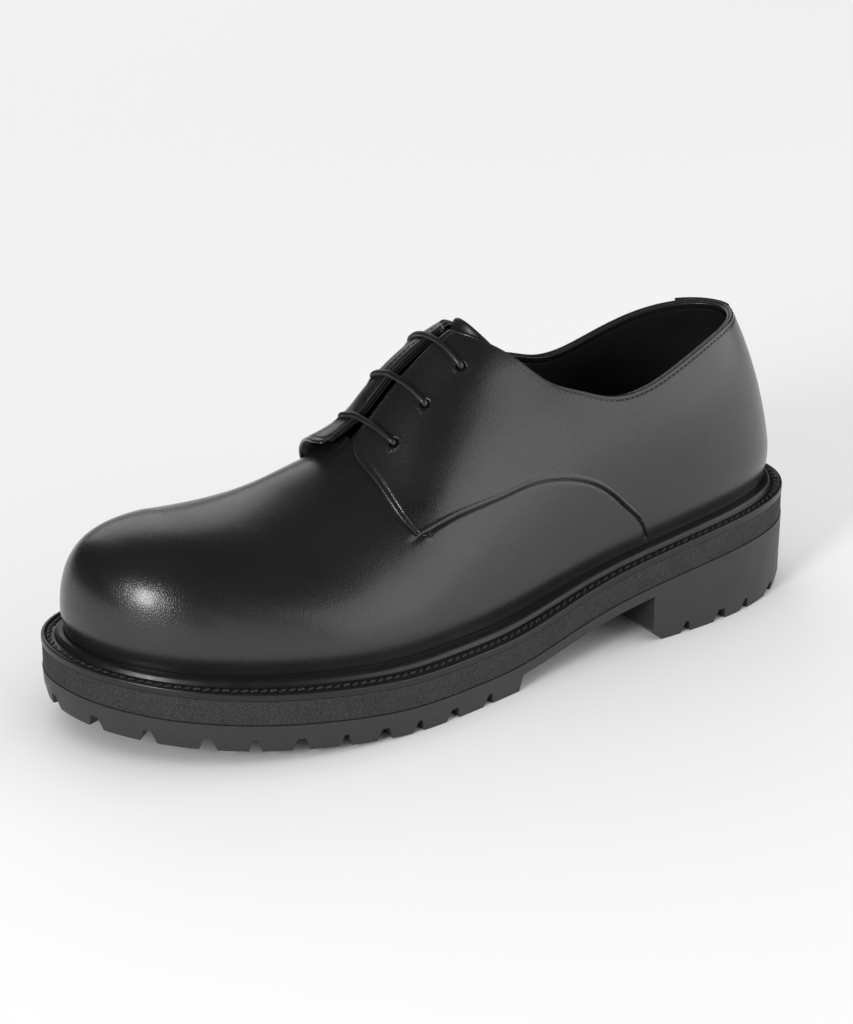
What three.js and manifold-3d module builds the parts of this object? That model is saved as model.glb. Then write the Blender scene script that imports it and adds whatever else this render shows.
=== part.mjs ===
// Derby shoe for the left foot: toe towards -Y, heel towards +Y, outer side towards +X, floor at z = 0.
// Millimetres. The origin is at the middle of the sole's length and width, on the floor.
import * as THREE from "three";
import { mergeVertices } from "three/addons/utils/BufferGeometryUtils.js";
import Module from "manifold-3d";

const wasm = await Module();
wasm.setup();

// Sole
const soleLength = 305;
const ballWidth = 113;
const heelWidth = 76;
const heelLift = 41;
const toeSpring = 10.4;
const lugDepth = 10.8;
const waistDepth = 4.3;
const midsoleBand = 9.6;
const weltEdge = 2.2;
const weltWidth = 10;
const ribRise = 3;
const insoleThickness = 3.5;
const edgeSlope = 1.6;
const gap = 0.3;

// Tread
const notchHeight = 5;
const notchReach = 13;
const wideNotch = 6.4;
const narrowNotch = 4.8;
const treadBelow = 2;
const grooveWidth = 5;
const grooveInset = 21;
const grooveDepth = 4;
const grooveBend = 8;
const grooveShift = -3;
const forefootTreadEnd = 7;
const breastAt = 71.5;
const breastChamfer = 5;
const lipSlope = 0.4;

// Upper
const instep = 100;
const backHeight = 72;
const wall = 1.6;
const quarterThickness = 1.4;
const facingGap = 4;
const facingCentre = -3.75;
const throatAt = -31.5;
const throatSink = 2.6;
const throatFloor = 0.45;
const innerLead = 7;
const quarterTaper = 0.12;
const liningDrop = 8;

// Lacing and tongue
const eyeletCount = 3;
const eyeletPitch = 15.3;
const eyeletFromThroat = 5;
const eyeletFromEdge = 14;
const eyeletHole = 3.6;
const punchLength = 12;
const laceDiameter = 2.4;
const laceRoom = 4.4;
const tongueThickness = 2.4;
const tongueWidth = 42;
const tongueReach = 9.5;
const tongueTuck = 14;
const tongueLift = 5;
const tongueSideLift = 1.7;
const tongueSweep = 11;
const tongueCorner = 6;
const tabThickness = 1.3;
const tabDrop = 15;
const tabLength = 26;
const tabTaper = 0.8;
const tabBelowEdge = 1.2;

// How finely the curved pieces are cut
const stations = 44;
const upperRows = 11;
const laceSides = 8;
const laceSteps = 76;

// Sole outline: shares of the ball width and of the heel width, at a share of the length from its middle
const outlineTable = [
  { along: -0.5, outBall: -0.13, outHeel: 0, inBall: -0.13, inHeel: 0 },
  { along: -0.465, outBall: 0.155, outHeel: 0, inBall: -0.345, inHeel: 0 },
  { along: -0.4, outBall: 0.325, outHeel: 0, inBall: -0.452, inHeel: 0 },
  { along: -0.29, outBall: 0.458, outHeel: 0, inBall: -0.54, inHeel: 0 },
  { along: -0.15, outBall: 0.5, outHeel: 0, inBall: -0.5, inHeel: 0 },
  { along: 0, outBall: 0.3, outHeel: 0.21, inBall: -0.24, inHeel: -0.175 },
  { along: 0.14, outBall: 0.07, outHeel: 0.45, inBall: -0.06, inHeel: -0.36 },
  { along: 0.275, outBall: 0, outHeel: 0.535, inBall: 0, inHeel: -0.465 },
  { along: 0.39, outBall: 0, outHeel: 0.475, inBall: 0, inHeel: -0.4 },
  { along: 0.465, outBall: 0, outHeel: 0.325, inBall: 0, inHeel: -0.238 },
  { along: 0.5, outBall: 0, outHeel: 0.035, inBall: 0, inHeel: 0.035 },
];

// Notches in the tread's edge, at a share of the length from the middle: flat ones and pointed ones
const notchTable = [
  { along: -0.5, wide: 1 },
  { along: -0.484, wide: 1 },
  { along: -0.445, wide: 1 },
  { along: -0.39, wide: 1 },
  { along: -0.341, wide: 0 },
  { along: -0.289, wide: 1 },
  { along: -0.235, wide: 0 },
  { along: -0.184, wide: 1 },
  { along: -0.136, wide: 0 },
  { along: -0.084, wide: 1 },
  { along: -0.028, wide: 0 },
  { along: 0.288, wide: 0 },
  { along: 0.345, wide: 1 },
  { along: 0.39, wide: 0 },
  { along: 0.446, wide: 1 },
  { along: 0.5, wide: 0 },
];

// Grooves across the middle of the tread: width as a share of the room between the notches
const grooveTable = [
  { along: -0.4, width: 0.62 },
  { along: -0.3, width: 0.92 },
  { along: -0.2, width: 1 },
  { along: -0.1, width: 0.95 },
  { along: 0.33, width: 0.4 },
  { along: 0.41, width: 0.36 },
];

// Tongue outline: share of its full width at a share of its length
const tongueTable = [
  { along: 0, width: 0.8 },
  { along: 0.5, width: 0.93 },
  { along: 0.8, width: 1 },
  { along: 0.93, width: 0.97 },
  { along: 1, width: 0.86 },
];

// Side profile of the sole: shares of the toe spring and of the rise from the flat forefoot to the heel
const profileTable = [
  { along: -0.5, spring: 1, rise: 0 },
  { along: -0.374, spring: 0.6, rise: 0 },
  { along: -0.226, spring: 0.22, rise: 0 },
  { along: -0.13, spring: 0.02, rise: 0 },
  { along: -0.06, spring: 0, rise: 0 },
  { along: 0.02, spring: 0, rise: 0.02 },
  { along: 0.15, spring: 0, rise: 0.43 },
  { along: 0.325, spring: 0, rise: 0.9 },
  { along: 0.42, spring: 0, rise: 0.985 },
  { along: 0.5, spring: 0, rise: 1 },
];

// How much of the welt shows outside the upper, as a share of the welt's width
const weltTable = [
  { along: -0.5, shown: 0.74 },
  { along: -0.45, shown: 0.82 },
  { along: -0.374, shown: 0.97 },
  { along: -0.05, shown: 1 },
  { along: 0.05, shown: 0.9 },
  { along: 0.15, shown: 0.7 },
  { along: 0.325, shown: 0.62 },
  { along: 0.45, shown: 0.66 },
  { along: 0.5, shown: 0.68 },
];

// Welt section: share of its width outwards, and height above its outer edge as a share of the rib's rise
const weltSection = [
  { out: 0, rise: 1 },
  { out: 0.36, rise: 0.62 },
  { out: 0.44, rise: 0.06 },
  { out: 0.8, rise: 0.02 },
  { out: 0.86, rise: 0.28 },
  { out: 0.97, rise: 0.16 },
];

// Top line of the last: height above the welt as a share of the instep, side shift as a share of the ball width.
// Behind the throat it is the closed form that the collar is cut from.
const ridgeTable = [
  { along: -0.354, height: 0.475, shift: -0.09 },
  { along: -0.262, height: 0.488, shift: -0.085 },
  { along: -0.197, height: 0.548, shift: -0.075 },
  { along: -0.15, height: 0.625, shift: -0.065 },
  { along: -0.11, height: 0.7, shift: -0.06 },
  { along: -0.06, height: 0.85, shift: -0.055 },
  { along: 0, height: 0.985, shift: -0.045 },
  { along: 0.06, height: 1.055, shift: -0.03 },
  { along: 0.16, height: 1.075, shift: 0 },
  { along: 0.321, height: 1.03, shift: 0.015 },
];

// Sections of the last: how far the side stands up and the top spreads before they turn, as shares of the
// section's height and half width, and the side's swell as a share of the ball width
const sectionTable = [
  { along: -0.47, side: 0.72, top: 0.8, swell: 0.021 },
  { along: -0.4, side: 0.7, top: 0.74, swell: 0.019 },
  { along: -0.354, side: 0.66, top: 0.68, swell: 0.016 },
  { along: -0.26, side: 0.6, top: 0.6, swell: 0.007 },
  { along: -0.16, side: 0.5, top: 0.54, swell: 0.007 },
  { along: -0.08, side: 0.44, top: 0.5, swell: 0.004 },
  { along: 0, side: 0.42, top: 0.48, swell: 0.004 },
  { along: 0.08, side: 0.44, top: 0.44, swell: 0.007 },
  { along: 0.16, side: 0.48, top: 0.42, swell: 0.011 },
  { along: 0.25, side: 0.5, top: 0.42, swell: 0.013 },
  { along: 0.33, side: 0.48, top: 0.42, swell: 0.007 },
  { along: 0.4, side: 0.45, top: 0.44, swell: 0 },
  { along: 0.47, side: 0.42, top: 0.45, swell: -0.004 },
];

// Top line of the quarters, from the facing's top corner round to the back: height above the welt,
// as shares of the instep and of the back height
const toplineTable = [
  { along: -0.004, instep: 1.075, back: 0 },
  { along: 0.012, instep: 1.028, back: 0 },
  { along: 0.03, instep: 1.012, back: 0 },
  { along: 0.05, instep: 0.982, back: 0 },
  { along: 0.08, instep: 0.91, back: 0 },
  { along: 0.11, instep: 0.4, back: 0.57 },
  { along: 0.15, instep: 0.1, back: 0.87 },
  { along: 0.19, instep: 0, back: 0.915 },
  { along: 0.235, instep: 0, back: 0.88 },
  { along: 0.29, instep: 0, back: 0.915 },
  { along: 0.35, instep: 0, back: 0.97 },
  { along: 0.41, instep: 0, back: 1 },
  { along: 0.5, instep: 0, back: 1.01 },
];

// Edge of the quarters over the vamp, from the facing down and back to the welt: share of the length, height
// above the welt as a share of the instep, and how much of the inner side's lead it takes
const quarterTable = [
  { along: -0.096, height: 0.85, lead: 1 },
  { along: -0.102, height: 0.737, lead: 1 },
  { along: -0.108, height: 0.718, lead: 1 },
  { along: -0.118, height: 0.687, lead: 1 },
  { along: -0.1215, height: 0.664, lead: 1 },
  { along: -0.1205, height: 0.624, lead: 1 },
  { along: -0.117, height: 0.578, lead: 1 },
  { along: -0.112, height: 0.523, lead: 0.95 },
  { along: -0.104, height: 0.475, lead: 0.9 },
  { along: -0.0955, height: 0.431, lead: 0.85 },
  { along: -0.076, height: 0.448, lead: 0.7 },
  { along: -0.042, height: 0.474, lead: 0.5 },
  { along: -0.006, height: 0.487, lead: 0.3 },
  { along: 0.031, height: 0.491, lead: 0.1 },
  { along: 0.07, height: 0.488, lead: 0 },
  { along: 0.106, height: 0.459, lead: 0 },
  { along: 0.14, height: 0.411, lead: 0 },
  { along: 0.175, height: 0.332, lead: 0 },
  { along: 0.193, height: 0.271, lead: 0 },
  { along: 0.21, height: 0.205, lead: 0 },
  { along: 0.229, height: 0.119, lead: 0 },
  { along: 0.24, height: -0.02, lead: 0 },
];

const stack = lugDepth + midsoleBand + weltEdge;
const throatHalf = facingGap / 2;

// Natural cubic through the rows of a table
function curve(table, xOf, yOf) {
  const xs = table.map(xOf);
  const ys = table.map(yOf);
  const last = xs.length - 1;
  const bend = new Array(last + 1).fill(0);
  const share = new Array(last + 1).fill(0);
  for (let i = 1; i < last; i += 1) {
    const before = xs[i] - xs[i - 1];
    const after = xs[i + 1] - xs[i];
    const slope = (ys[i + 1] - ys[i]) / after - (ys[i] - ys[i - 1]) / before;
    const pivot = 2 * (before + after) - before * share[i - 1];
    share[i] = after / pivot;
    bend[i] = (6 * slope - before * bend[i - 1]) / pivot;
  }
  for (let i = last - 1; i > 0; i -= 1) bend[i] -= share[i] * bend[i + 1];
  return (x) => {
    if (x <= xs[0]) return ys[0];
    if (x >= xs[last]) return ys[last];
    let i = 0;
    while (x > xs[i + 1]) i += 1;
    const h = xs[i + 1] - xs[i];
    const a = xs[i + 1] - x;
    const b = x - xs[i];
    const cubic = (bend[i] * a ** 3 + bend[i + 1] * b ** 3) / (6 * h);
    return cubic + (ys[i] / h - (bend[i] * h) / 6) * a + (ys[i + 1] / h - (bend[i + 1] * h) / 6) * b;
  };
}

const byAlong = (row) => row.along;
const turnOf = (row) => Math.acos(-2 * row.along) / Math.PI;
const outerEdge = curve(outlineTable, turnOf, (row) => row.outBall * ballWidth + row.outHeel * heelWidth);
const innerEdge = curve(outlineTable, turnOf, (row) => row.inBall * ballWidth + row.inHeel * heelWidth);
const springShare = curve(profileTable, byAlong, (row) => row.spring);
const riseShare = curve(profileTable, byAlong, (row) => row.rise);
const weltShare = curve(weltTable, byAlong, (row) => row.shown);
const ridgeShare = curve(ridgeTable, byAlong, (row) => row.height);
const shiftShare = curve(ridgeTable, byAlong, (row) => row.shift);
const sideShare = curve(sectionTable, byAlong, (row) => row.side);
const topShare = curve(sectionTable, byAlong, (row) => row.top);
const swellShare = curve(sectionTable, byAlong, (row) => row.swell);
const toeCentre = ridgeTable[0].along * soleLength;
const heelCentre = ridgeTable[ridgeTable.length - 1].along * soleLength;

const clamp = THREE.MathUtils.clamp;
const smoothstep = THREE.MathUtils.smoothstep;
const springAt = (y) => Math.max(0, springShare(y / soleLength)) * toeSpring;
const weltTop = (y) => stack + springAt(y) + riseShare(y / soleLength) * (heelLift - stack);
const midsoleTop = (y) => weltTop(y) - weltEdge;
const midsoleBottom = (y) => midsoleTop(y) - midsoleBand;

// A point of the outline: side is 1 outside and -1 inside the foot, turn runs from 0 at the toe to 1 at the heel
function outlinePoint(side, turn) {
  const edge = side > 0 ? outerEdge : innerEdge;
  return new THREE.Vector2(edge(turn), (-soleLength / 2) * Math.cos(Math.PI * turn));
}

function outward(side, turn) {
  if (turn <= 0) return new THREE.Vector2(0, -1);
  if (turn >= 1) return new THREE.Vector2(0, 1);
  const step = 0.001;
  const along = outlinePoint(side, Math.min(1, turn + step)).sub(outlinePoint(side, Math.max(0, turn - step)));
  return new THREE.Vector2(along.y * side, -along.x * side).normalize();
}

function insetPoint(side, turn, distance) {
  return outlinePoint(side, turn).addScaledVector(outward(side, turn), -distance);
}

function featherPoint(side, turn) {
  const shown = weltWidth * weltShare(outlinePoint(side, turn).y / soleLength);
  const plan = insetPoint(side, turn, shown);
  return new THREE.Vector3(plan.x, plan.y, weltTop(plan.y) + ribRise);
}

function ridgePoint(y) {
  const at = clamp(y, toeCentre, heelCentre);
  const share = at / soleLength;
  return new THREE.Vector3(shiftShare(share) * ballWidth, at, weltTop(at) + ridgeShare(share) * instep);
}

// The last's surface: up runs from 0 at the feather line to 1 on the ridge
function lastPoint(side, turn, up) {
  const foot = featherPoint(side, turn);
  const top = ridgePoint(foot.y);
  const share = foot.y / soleLength;
  const out = outward(side, turn).multiplyScalar(swellShare(share) * ballWidth);
  const rising = foot.clone().add(new THREE.Vector3(out.x, out.y, sideShare(share) * (top.z - foot.z)));
  const spread = new THREE.Vector3(foot.x - top.x, foot.y - top.y, 0).multiplyScalar(topShare(share));
  const turning = top.clone().add(spread);
  return new THREE.CubicBezierCurve3(foot, rising, turning, top).getPoint(up);
}

function lastNormal(side, turn, up) {
  const step = 0.001;
  if (up > 1 - step) {
    const y = ridgePoint(featherPoint(side, turn).y).y;
    const flat = y <= toeCentre || y >= heelCentre;
    const slope = flat ? 0 : (ridgePoint(y + 0.5).z - ridgePoint(y - 0.5).z);
    return new THREE.Vector3(0, -slope, 1).normalize();
  }
  const early = clamp(turn, step / 10, 1 - step / 10);
  const along = lastPoint(side, Math.min(1, early + step), up).sub(lastPoint(side, Math.max(0, early - step), up));
  const rise = lastPoint(side, early, up + step).sub(lastPoint(side, early, Math.max(0, up - step)));
  return along.cross(rise).multiplyScalar(side).normalize();
}

function upperPoint(side, turn, up, offset) {
  return lastPoint(side, turn, up).addScaledVector(lastNormal(side, turn, up), offset);
}

// The vamp dips below the facings' front ends
function vampDip(y, up) {
  const front = smoothstep(y, throatAt - 30, throatAt - 6);
  const rear = 1 - smoothstep(y, throatAt - 1, throatAt + 12);
  return throatSink * front * rear * smoothstep(up, 0.62, 0.9);
}

// One ring of points: out along the outer side from toe to heel, and back along the inner side
function ring(pointAt) {
  const points = [];
  for (let i = 0; i <= stations; i += 1) points.push(pointAt(1, i / stations));
  for (let i = stations - 1; i > 0; i -= 1) points.push(pointAt(-1, i / stations));
  return points;
}

function geometryOf(points, faces) {
  const flat = new THREE.BufferGeometry();
  flat.setAttribute("position", new THREE.Float32BufferAttribute(points.flatMap((p) => [p.x, p.y, p.z]), 3));
  flat.setIndex(faces.flat());
  const merged = mergeVertices(flat, 0.0005);
  const index = merged.getIndex().array;
  const kept = [];
  for (let i = 0; i < index.length; i += 3) {
    const [a, b, c] = [index[i], index[i + 1], index[i + 2]];
    if (a !== b && b !== c && c !== a) kept.push(a, b, c);
  }
  merged.setIndex(kept);
  return merged;
}

// Rings stacked from the bottom up make a closed body. Its ends are closed by strips across the shoe.
function stackRings(rings) {
  const count = rings[0].length;
  const half = count / 2;
  const points = rings.flat();
  const faces = [];
  const quad = (a, b, c, d) => faces.push([a, b, c], [a, c, d]);
  for (let r = 0; r < rings.length - 1; r += 1) {
    for (let i = 0; i < count; i += 1) {
      const next = (i + 1) % count;
      quad(r * count + i, r * count + next, (r + 1) * count + next, (r + 1) * count + i);
    }
  }
  const top = (rings.length - 1) * count;
  for (let i = 0; i < half; i += 1) {
    const back = (count - i) % count;
    const nextBack = count - i - 1;
    quad(top + i, top + i + 1, top + nextBack, top + back);
    quad(back, nextBack, i + 1, i);
  }
  return geometryOf(points, faces);
}

// Two matching grids of points, the outer and the inner face of a sheet, make a closed body
function sheetBody(outer, inner) {
  const rows = outer.length;
  const columns = outer[0].length;
  const points = [...outer.flat(), ...inner.flat()];
  const under = rows * columns;
  const faces = [];
  const quad = (a, b, c, d) => faces.push([a, b, c], [a, c, d]);
  for (let r = 0; r < rows - 1; r += 1) {
    for (let c = 0; c < columns - 1; c += 1) {
      const a = r * columns + c;
      quad(a, a + 1, a + columns + 1, a + columns);
      quad(under + a, under + a + columns, under + a + columns + 1, under + a + 1);
    }
  }
  for (let c = 0; c < columns - 1; c += 1) {
    const far = (rows - 1) * columns + c;
    quad(c, under + c, under + c + 1, c + 1);
    quad(far, far + 1, under + far + 1, under + far);
  }
  for (let r = 0; r < rows - 1; r += 1) {
    const a = r * columns;
    const b = a + columns - 1;
    quad(a, a + columns, under + a + columns, under + a);
    quad(b, under + b, under + b + columns, b + columns);
  }
  return geometryOf(points, faces);
}

function solidOf(geometry) {
  const bare = geometry.clone();
  bare.deleteAttribute("normal");
  bare.deleteAttribute("uv");
  const merged = mergeVertices(bare, 0.0005);
  const mesh = new wasm.Mesh({
    numProp: 3,
    vertProperties: new Float32Array(merged.getAttribute("position").array),
    triVerts: new Uint32Array(merged.getIndex().array),
  });
  return new wasm.Manifold(mesh);
}

function geometryFrom(solid) {
  const mesh = solid.getMesh();
  const geometry = new THREE.BufferGeometry();
  geometry.setAttribute("position", new THREE.BufferAttribute(mesh.vertProperties, 3));
  geometry.setIndex(new THREE.BufferAttribute(mesh.triVerts, 1));
  return geometry;
}

// A flat outline in the Y-Z plane, pushed across the shoe
function acrossPrism(outline, from, to) {
  const shape = new THREE.Shape(outline.map(([y, z]) => new THREE.Vector2(y, z)));
  const prism = new THREE.ExtrudeGeometry(shape, { depth: to - from, bevelEnabled: false });
  prism.translate(0, 0, from);
  const turned = new THREE.Matrix4().set(0, 0, 1, 0, 1, 0, 0, 0, 0, 1, 0, 0, 0, 0, 0, 1);
  return solidOf(prism.applyMatrix4(turned));
}

function uprightPrism(outline, from, to) {
  const shape = new THREE.Shape(outline.map(([x, y]) => new THREE.Vector2(x, y)));
  const prism = new THREE.ExtrudeGeometry(shape, { depth: to - from, bevelEnabled: false });
  prism.translate(0, 0, from);
  return solidOf(prism);
}

function soleRing(inset, heightAt) {
  return ring((side, turn) => {
    const plan = insetPoint(side, turn, inset);
    return new THREE.Vector3(plan.x, plan.y, heightAt(plan.y));
  });
}

// Midsole
function midsole() {
  const lower = soleRing(0, (y) => midsoleBottom(y) + gap);
  const upper = soleRing(0, (y) => midsoleTop(y) - gap);
  return stackRings([lower, upper]);
}

// Welt, all the way round
function welt() {
  const rings = weltSection.map((row) => ring((side, turn) => {
    const shown = weltWidth * weltShare(outlinePoint(side, turn).y / soleLength) - gap;
    const plan = insetPoint(side, turn, shown * (1 - row.out));
    return new THREE.Vector3(plan.x, plan.y, weltTop(plan.y) + row.rise * ribRise);
  }));
  const outerTop = soleRing(0, weltTop);
  const outerBottom = soleRing(0, midsoleTop);
  const innerBottom = rings[0].map((p) => new THREE.Vector3(p.x, p.y, midsoleTop(p.y)));
  const loop = [...rings, outerTop, outerBottom, innerBottom];
  const count = innerBottom.length;
  const faces = [];
  loop.forEach((one, r) => {
    const next = ((r + 1) % loop.length) * count;
    for (let i = 0; i < count; i += 1) {
      const j = (i + 1) % count;
      faces.push([r * count + i, next + i, next + j], [r * count + i, next + j, r * count + j]);
    }
  });
  return geometryOf(loop.flat(), faces);
}

// Insole, inside the upper's wall
function insole() {
  const insetAt = (side, turn) => weltWidth * weltShare(outlinePoint(side, turn).y / soleLength) + wall + 2 * gap;
  const level = (height) => ring((side, turn) => {
    const plan = insetPoint(side, turn, insetAt(side, turn));
    return new THREE.Vector3(plan.x, plan.y, midsoleTop(plan.y) + height);
  });
  return stackRings([level(gap), level(gap + insoleThickness)]);
}

// Turn at which the outline's edge, moved in by a distance, lies at a given place along the shoe
function turnAt(side, y, inset) {
  let low = 0;
  let high = 1;
  for (let i = 0; i < 30; i += 1) {
    const middle = (low + high) / 2;
    if (insetPoint(side, middle, inset).y < y) low = middle;
    else high = middle;
  }
  return (low + high) / 2;
}

// A wedge cut into the sole's edge, square to it
function notch(side, row) {
  const turn = Math.abs(row.along) < 0.5 ? turnAt(side, row.along * soleLength, 0) : row.along + 0.5;
  const edge = outlinePoint(side, turn);
  const out = outward(side, turn);
  const across = new THREE.Vector2(-out.y, out.x);
  const lower = (row.wide ? wideNotch : narrowNotch) / 2;
  const upperHalf = lower * (row.wide ? 0.47 : 0.33);
  const section = [[-lower, 0], [-lower, -treadBelow], [lower, -treadBelow], [lower, 0]];
  section.push([upperHalf, notchHeight], [-upperHalf, notchHeight]);
  const shape = new THREE.Shape(section.map(([a, z]) => new THREE.Vector2(a, z)));
  const wedge = new THREE.ExtrudeGeometry(shape, { depth: notchReach + treadBelow, bevelEnabled: false });
  const basis = new THREE.Matrix4().makeBasis(
    new THREE.Vector3(across.x, across.y, 0),
    new THREE.Vector3(0, 0, 1),
    new THREE.Vector3(out.x, out.y, 0),
  );
  const start = edge.clone().addScaledVector(out, -notchReach);
  basis.setPosition(start.x, start.y, springAt(edge.y));
  return solidOf(wedge.applyMatrix4(basis));
}

function crossGroove(row) {
  const y = row.along * soleLength;
  const half = (ballWidth / 2 - grooveInset) * row.width;
  const bend = row.along < 0 ? -grooveBend : 0;
  const outline = [[-1, 1], [0, 1], [1, 1], [1, -1], [0, -1], [-1, -1]].map(([x, edge]) => [
    ridgePoint(y).x * 0.5 + x * half + grooveShift * row.width,
    y + bend * (1 - Math.abs(x)) - (edge * grooveWidth) / 2,
  ]);
  return uprightPrism(outline, -treadBelow, springAt(y) + grooveDepth);
}

// Outsole: lugs under the forefoot, a thin waist and the heel block, moulded in one
function outsole() {
  const body = solidOf(stackRings([
    soleRing(edgeSlope, springAt),
    soleRing(lipSlope, (y) => springAt(y) + notchHeight),
    soleRing(0, midsoleBottom),
  ]));
  const steps = 14;
  const frontTop = forefootTreadEnd + 1;
  const arch = [[forefootTreadEnd, -treadBelow]];
  for (let i = 0; i <= steps; i += 1) {
    const y = frontTop + ((breastAt - frontTop) * i) / steps;
    arch.push([y, midsoleBottom(y) - waistDepth]);
  }
  arch.push([breastAt, breastChamfer], [breastAt + breastChamfer + treadBelow, -treadBelow]);
  let solid = body.subtract(acrossPrism(arch, -ballWidth, ballWidth));
  notchTable.forEach((row) => {
    const sides = Math.abs(row.along) < 0.5 ? [1, -1] : [1];
    sides.forEach((side) => {
      solid = solid.subtract(notch(side, row));
    });
  });
  grooveTable.forEach((row) => {
    solid = solid.subtract(crossGroove(row));
  });
  return geometryFrom(solid);
}

// Closed form of the upper at an offset from the last, standing on the midsole
function upperForm(offsetAt, footDrop) {
  const foot = ring((side, turn) => {
    const p = upperPoint(side, turn, 0, offsetAt(0, 0));
    return new THREE.Vector3(p.x, p.y, midsoleTop(p.y) + gap - footDrop);
  });
  const rings = [foot];
  for (let r = 0; r <= upperRows; r += 1) {
    const up = r / upperRows;
    rings.push(ring((side, turn) => {
      const y = featherPoint(side, turn).y;
      return upperPoint(side, turn, up, offsetAt(up, y));
    }));
  }
  return solidOf(stackRings(rings));
}

function toplineCut() {
  const height = curve(toplineTable, byAlong, (row) => row.instep * instep + row.back * backHeight);
  const start = toplineTable[0].along * soleLength;
  const outline = [[start, 2 * instep]];
  const steps = 48;
  for (let i = 0; i <= steps; i += 1) {
    const y = start + ((soleLength * 0.55 - start) * i) / steps;
    outline.push([y, weltTop(y) + height(y / soleLength)]);
  }
  outline.push([soleLength * 0.55, 2 * instep]);
  return acrossPrism(outline.reverse(), -ballWidth, ballWidth);
}

function throatCut() {
  const reach = 0.1 * soleLength;
  const outline = [
    [facingCentre - throatHalf, throatAt + throatHalf],
    [facingCentre - throatHalf * 0.6, throatAt + throatHalf * 0.3],
    [facingCentre, throatAt],
    [facingCentre + throatHalf * 0.6, throatAt + throatHalf * 0.3],
    [facingCentre + throatHalf, throatAt + throatHalf],
    [facingCentre + throatHalf, reach],
    [facingCentre - throatHalf, reach],
  ];
  return uprightPrism(outline, stack + instep * throatFloor, 2 * instep);
}

// One quarter's side outline: everything behind and above its edge over the vamp
function quarterRegion(side) {
  const edge = quarterTable.map((row) => {
    const lead = side > 0 ? 0 : row.lead * innerLead;
    const y = row.along * soleLength;
    return [y - lead, weltTop(y) + row.height * instep];
  });
  const behind = soleLength * 0.6;
  const first = edge[0];
  const last = edge[edge.length - 1];
  const outline = [[first[0], 2 * instep], ...edge, [last[0], 0], [behind, 0], [behind, 2 * instep]];
  return side > 0 ? acrossPrism(outline, facingCentre, ballWidth) : acrossPrism(outline, -ballWidth, facingCentre);
}

// A place on the upper given by its side, its place along the shoe and its place across
function upperAt(side, x, y) {
  let low = 0;
  let high = 1;
  for (let i = 0; i < 30; i += 1) {
    const middle = (low + high) / 2;
    if (featherPoint(side, middle).y < y) low = middle;
    else high = middle;
  }
  const turn = (low + high) / 2;
  let bottom = 0.3;
  let top = 1;
  for (let i = 0; i < 30; i += 1) {
    const middle = (bottom + top) / 2;
    if ((lastPoint(side, turn, middle).x - x) * side > 0) bottom = middle;
    else top = middle;
  }
  return { turn, up: (bottom + top) / 2 };
}

const eyelets = [];
for (let i = 0; i < eyeletCount; i += 1) {
  [1, -1].forEach((side) => {
    const lead = side > 0 ? 0 : innerLead;
    const y = throatAt + eyeletFromThroat + i * eyeletPitch - lead;
    const x = facingCentre + side * (throatHalf + eyeletFromEdge);
    const { turn, up } = upperAt(side, x, y);
    eyelets.push({
      row: i,
      side,
      centre: upperPoint(side, turn, up, quarterThickness),
      out: lastNormal(side, turn, up),
    });
  });
}

function eyeletCut(eyelet) {
  const hole = new THREE.CylinderGeometry(eyeletHole / 2, eyeletHole / 2, punchLength, 12);
  const turned = new THREE.Quaternion().setFromUnitVectors(new THREE.Vector3(0, 1, 0), eyelet.out);
  hole.applyQuaternion(turned);
  hole.translate(eyelet.centre.x, eyelet.centre.y, eyelet.centre.z);
  return solidOf(hole);
}

// Upper: one hollow body. The quarters lie over the vamp as a step in its wall.
function upper() {
  const quarterOffset = (up) => quarterThickness * smoothstep(up, 0, quarterTaper);
  const outside = upperForm((up, y) => -vampDip(y, up), 0);
  const quarterOutside = upperForm(quarterOffset, 0);
  const inside = upperForm((up, y) => -wall - vampDip(y, up), liningDrop);
  const raised = quarterOutside.intersect(quarterRegion(1).add(quarterRegion(-1)));
  let solid = outside.add(raised).subtract(inside).subtract(toplineCut()).subtract(throatCut());
  eyelets.forEach((eyelet) => {
    solid = solid.subtract(eyeletCut(eyelet));
  });
  return geometryFrom(solid);
}

// Tongue: it follows the upper from inside, with room above it for the lace
function tongue() {
  const from = throatAt - tongueTuck;
  const to = throatAt + eyeletFromThroat + (eyeletCount - 1) * eyeletPitch + tongueReach;
  const rows = 20;
  const columns = 12;
  const halfAt = curve(tongueTable, byAlong, (row) => (row.width * tongueWidth) / 2);
  const tucked = wall + throatSink + 2 * gap;
  const faceAt = (depth) => {
    const grid = [];
    for (let r = 0; r <= rows; r += 1) {
      const share = r / rows;
      const row = [];
      for (let c = 0; c <= columns; c += 1) {
        const across = (2 * c) / columns - 1;
        const side = across >= 0 ? 1 : -1;
        const swept = tongueSweep * (share * across) ** 2 - tongueCorner * (share * across) ** 8;
        const y = from + (to - from) * share + swept;
        const sink = tucked + (wall + laceRoom - tucked) * smoothstep(y, throatAt - 2, throatAt + 6);
        const middle = 1 - smoothstep(Math.abs(across), 0.1, 0.8);
        const lift = tongueSideLift + (tongueLift - tongueSideLift) * middle;
        const rise = lift * smoothstep(share, 1 - tongueReach / (to - from), 1);
        const place = upperAt(side, ridgePoint(y).x + across * halfAt(share), y);
        const up = across === 0 ? 1 : place.up;
        row.push(upperPoint(side, place.turn, up, rise - sink - depth));
      }
      grid.push(row);
    }
    return grid;
  };
  return sheetBody(faceAt(0), faceAt(tongueThickness));
}

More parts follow.
